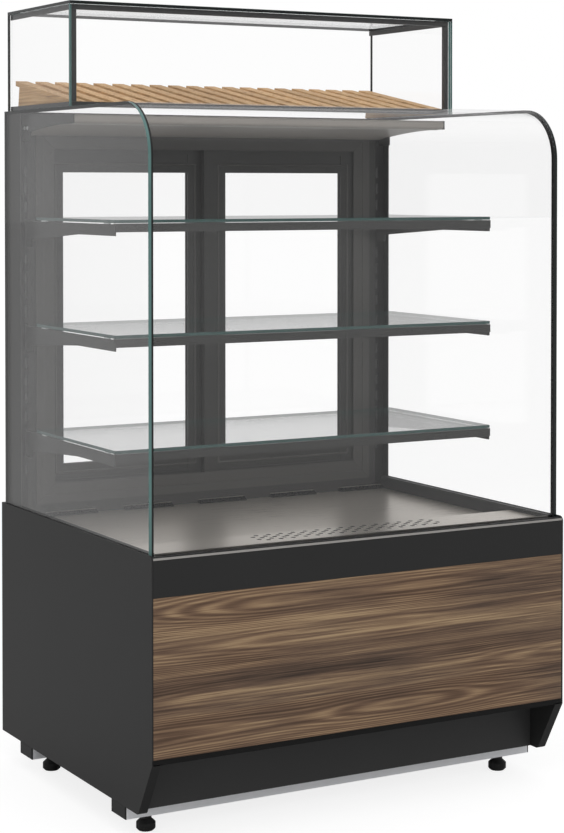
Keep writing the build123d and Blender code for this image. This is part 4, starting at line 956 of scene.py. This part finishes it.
class CASE_OT_trims(bpy.types.Operator):
    """Builds the mitred cover bars of the rear frame, the glazing beads of the sashes and the screws"""

    bl_idname = "case.trims"
    bl_label = "Trims and screws"

    def cover_bars(self, coat):
        """A ring of flat bars inside the rear frame, trimmed below the rear wall of the canopy."""
        made = bmesh.new()
        mitred_ring(made, COVER_RING, COVER_SECTION, box_mm("rear_frame")[0][1])
        whole = made.verts[:] + made.edges[:] + made.faces[:]
        cut = (0, 0, (box_mm("canopy_sheet")[0][2] - CANOPY_CLEARANCE) * MM)
        bmesh.ops.bisect_plane(made, geom=whole, plane_co=cut, plane_no=(0, 0, 1), clear_outer=True)
        bmesh.ops.holes_fill(made, edges=made.edges[:])
        finish_piece(made, "rear_frame_cover_bars", coat)

    def beads(self, coat, hand):
        """The glazing beads round one sash's pane, which slide with it."""
        low, high = box_mm(hand + "_sash_glass")
        outline = (low[0] - BEAD_REACH, high[0] + BEAD_REACH, low[2] - BEAD_REACH, high[2] + BEAD_REACH)
        made = bmesh.new()
        mitred_ring(made, outline, BEAD_SECTION, box_mm(hand + "_sash_frame")[0][1])
        finish_piece(made, hand + "_sash_bead", coat, body=hand + "_sash")

    def screws(self, zinc, sizes):
        """Button heads on the outer faces of the canopy arms and on the rear cover."""
        radius = sizes.screw_radius / MM
        arm_low, arm_high = box_mm("canopy_arms")
        heads = bmesh.new()
        for setback in ARM_SCREW_SETBACKS:
            for side in (-1, 1):
                centre = (side * arm_high[0], arm_high[1] - setback, arm_low[2] + ARM_SCREW_RISE)
                button_head(heads, centre, (side, 0, 0), radius, ARM_HEAD_HEIGHT, sizes.screw_facets)
        finish_piece(heads, "canopy_arm_screws", zinc)
        low, high = box_mm("rear_base_panel")
        covers = bmesh.new()
        for x in COVER_SCREW_X:
            for z in (low[2] + COVER_SCREW_INSET, high[2] - COVER_SCREW_INSET):
                button_head(covers, (x, high[1], z), (0, 1, 0), radius, COVER_HEAD_HEIGHT, sizes.screw_facets)
        finish_piece(covers, "rear_cover_screws", zinc)

    def execute(self, context):
        # Grey coat of the trims: a shade paler than the frame as painted light, so that their edges draw
        # light lines.
        coat = powder_coat("grey powder coat trim", context.scene.case_colours.trim_coat, 0.36)
        self.cover_bars(coat)
        for hand in ("left", "right"):
            self.beads(coat, hand)
        # Bright zinc: small heads that catch the light.
        self.screws(brushed_metal("bright zinc screws", "#c9cacb", 0.28, 2), context.scene.case_sizes)
        return {"FINISHED"}


class CASE_OT_rack(bpy.types.Operator):
    """Builds the oak bread rack"""

    bl_idname = "case.rack"
    bl_label = "Bread rack"

    def top_line(self, y):
        """Height of the slats' top at depth y, in millimetres."""
        rear, top = box_mm("bread_slats")[1][1:]
        return top - SLAT_FALL + SLAT_FALL * (y - SLAT_FRONT) / (rear - SLAT_FRONT)

    def slats(self, sizes):
        """Planed slats that slope down to the front."""
        made = bmesh.new()
        width, thickness, pitch = sizes.slat_width / MM, sizes.slat_depth / MM, sizes.slat_pitch / MM
        ends = (SLAT_FRONT, box_mm("bread_slats")[1][1])
        outline = [(y, self.top_line(y) - thickness) for y in ends]
        outline += [(y, self.top_line(y)) for y in reversed(ends)]
        for i in range(SLATS):
            centre = (i - (SLATS - 1) / 2) * pitch
            prism(made, outline, centre - width / 2, centre + width / 2)
        return made

    def carrier(self, sizes):
        """Two wedge-shaped side boards and two battens, with square-cut rear ends."""
        made = bmesh.new()
        drop = sizes.slat_depth / MM + BAR_GAP
        foot = box_mm("slat_carrier")[0][2] + BAR_GAP
        outer = box_mm("slat_carrier")[1][0]
        inner = outer - SIDE_BOARD
        top = [(y, self.top_line(y) - drop) for y in reversed(SIDE_BOARD_TOP)]
        outline = [(y, foot) for y in SIDE_BOARD_FOOT] + top
        prism(made, outline, -outer, -inner)
        prism(made, outline, inner, outer)
        for y in BATTENS:
            top = [(v, self.top_line(v) - drop) for v in (y, y + BATTEN_DEPTH)]
            batten = [(v, z - BATTEN_THICKNESS) for v, z in top] + list(reversed(top))
            prism(made, batten, BAR_GAP - inner, inner - BAR_GAP)
        return made

    def execute(self, context):
        sizes = context.scene.case_sizes
        oak = oiled_oak("oiled oak", sizes)
        slats = finish_piece(self.slats(sizes), "oak_slats", oak, 1.2)
        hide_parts("bread_slats")
        carrier = finish_piece(self.carrier(sizes), "oak_side_boards", oak, 0.8)
        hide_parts("slat_carrier")
        return {"FINISHED"}


class CASE_OT_box_frame(bpy.types.Operator):
    """Builds the coated frame bars of the bread box, a hair's breadth off the panes"""

    bl_idname = "case.box_frame"
    bl_label = "Bread box frame"

    def execute(self, context):
        # Coated aluminium: thin dark bars with a soft light along their edges.
        coat = powder_coat("grey coated aluminium", context.scene.case_colours.box_frame, 0.4)
        low, high = box_mm("bread_box_upper_frame")
        foot, lower_top = box_mm("bread_box_lower_frame")[0][2], box_mm("bread_box_lower_frame")[1][2]
        side, inner = high[0] - PANE_GAP, high[0] - BOX_BAR
        front, behind, rear = low[1] + PANE_GAP, low[1] + BOX_BAR, high[1]
        top = high[2] - PANE_GAP
        upper_foot = top - BOX_BAR
        upper = bmesh.new()
        bar(upper, (-side, front, upper_foot), (side, behind, top))
        bar_pair(upper, (side - THIN_BAR, behind, upper_foot), (side, rear, top))
        bar_pair(upper, (inner, front, lower_top + BAR_GAP), (side, behind, upper_foot - BAR_GAP))
        lower = bmesh.new()
        bar(lower, (-side, front, foot), (side, behind, lower_top))
        bar_pair(lower, (inner, behind + BAR_GAP, foot), (side, rear, lower_top))
        upper_bars = finish_piece(upper, "box_upper_bars", coat, 0.5)
        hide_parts("bread_box_upper_frame")
        lower_bars = finish_piece(lower, "box_lower_bars", coat, 0.5)
        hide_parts("bread_box_lower_frame")
        return {"FINISHED"}


class CASE_PT_panel(bpy.types.Panel):
    """Lists the steps that dress the display case"""

    bl_idname = "CASE_PT_panel"
    bl_label = "Display case"
    bl_space_type = "VIEW_3D"
    bl_region_type = "UI"
    bl_category = "Display case"

    def draw(self, context):
        for step in STEPS:
            self.layout.operator(step.bl_idname)
        for group in (context.scene.case_colours, context.scene.case_sizes, context.scene.case_studio):
            for name in group.__annotations__:
                self.layout.prop(group, name)


STEPS = (
    CASE_OT_stage,
    CASE_OT_base,
    CASE_OT_walnut,
    CASE_OT_deck,
    CASE_OT_inside,
    CASE_OT_trims,
    CASE_OT_rack,
    CASE_OT_box_frame,
    CASE_OT_glass,
)
CLASSES = (CaseColours, CaseSizes, StudioSettings, *STEPS, CASE_PT_panel)


def register():
    """Adds the classes and the settings to Blender."""
    for item in CLASSES:
        bpy.utils.register_class(item)
    bpy.types.Scene.case_colours = PointerProperty(type=CaseColours)
    bpy.types.Scene.case_sizes = PointerProperty(type=CaseSizes)
    bpy.types.Scene.case_studio = PointerProperty(type=StudioSettings)


def unregister():
    """Takes the classes and the settings out again."""
    del bpy.types.Scene.case_studio
    del bpy.types.Scene.case_sizes
    del bpy.types.Scene.case_colours
    for item in reversed(CLASSES):
        bpy.utils.unregister_class(item)


def main():
    """Dresses the case."""
    register()
    bpy.ops.case.stage()
    bpy.ops.case.base()
    bpy.ops.case.walnut()
    bpy.ops.case.deck()
    bpy.ops.case.inside()
    bpy.ops.case.trims()
    bpy.ops.case.rack()
    bpy.ops.case.box_frame()
    bpy.ops.case.glass()


if __name__ == "__main__":
    main()
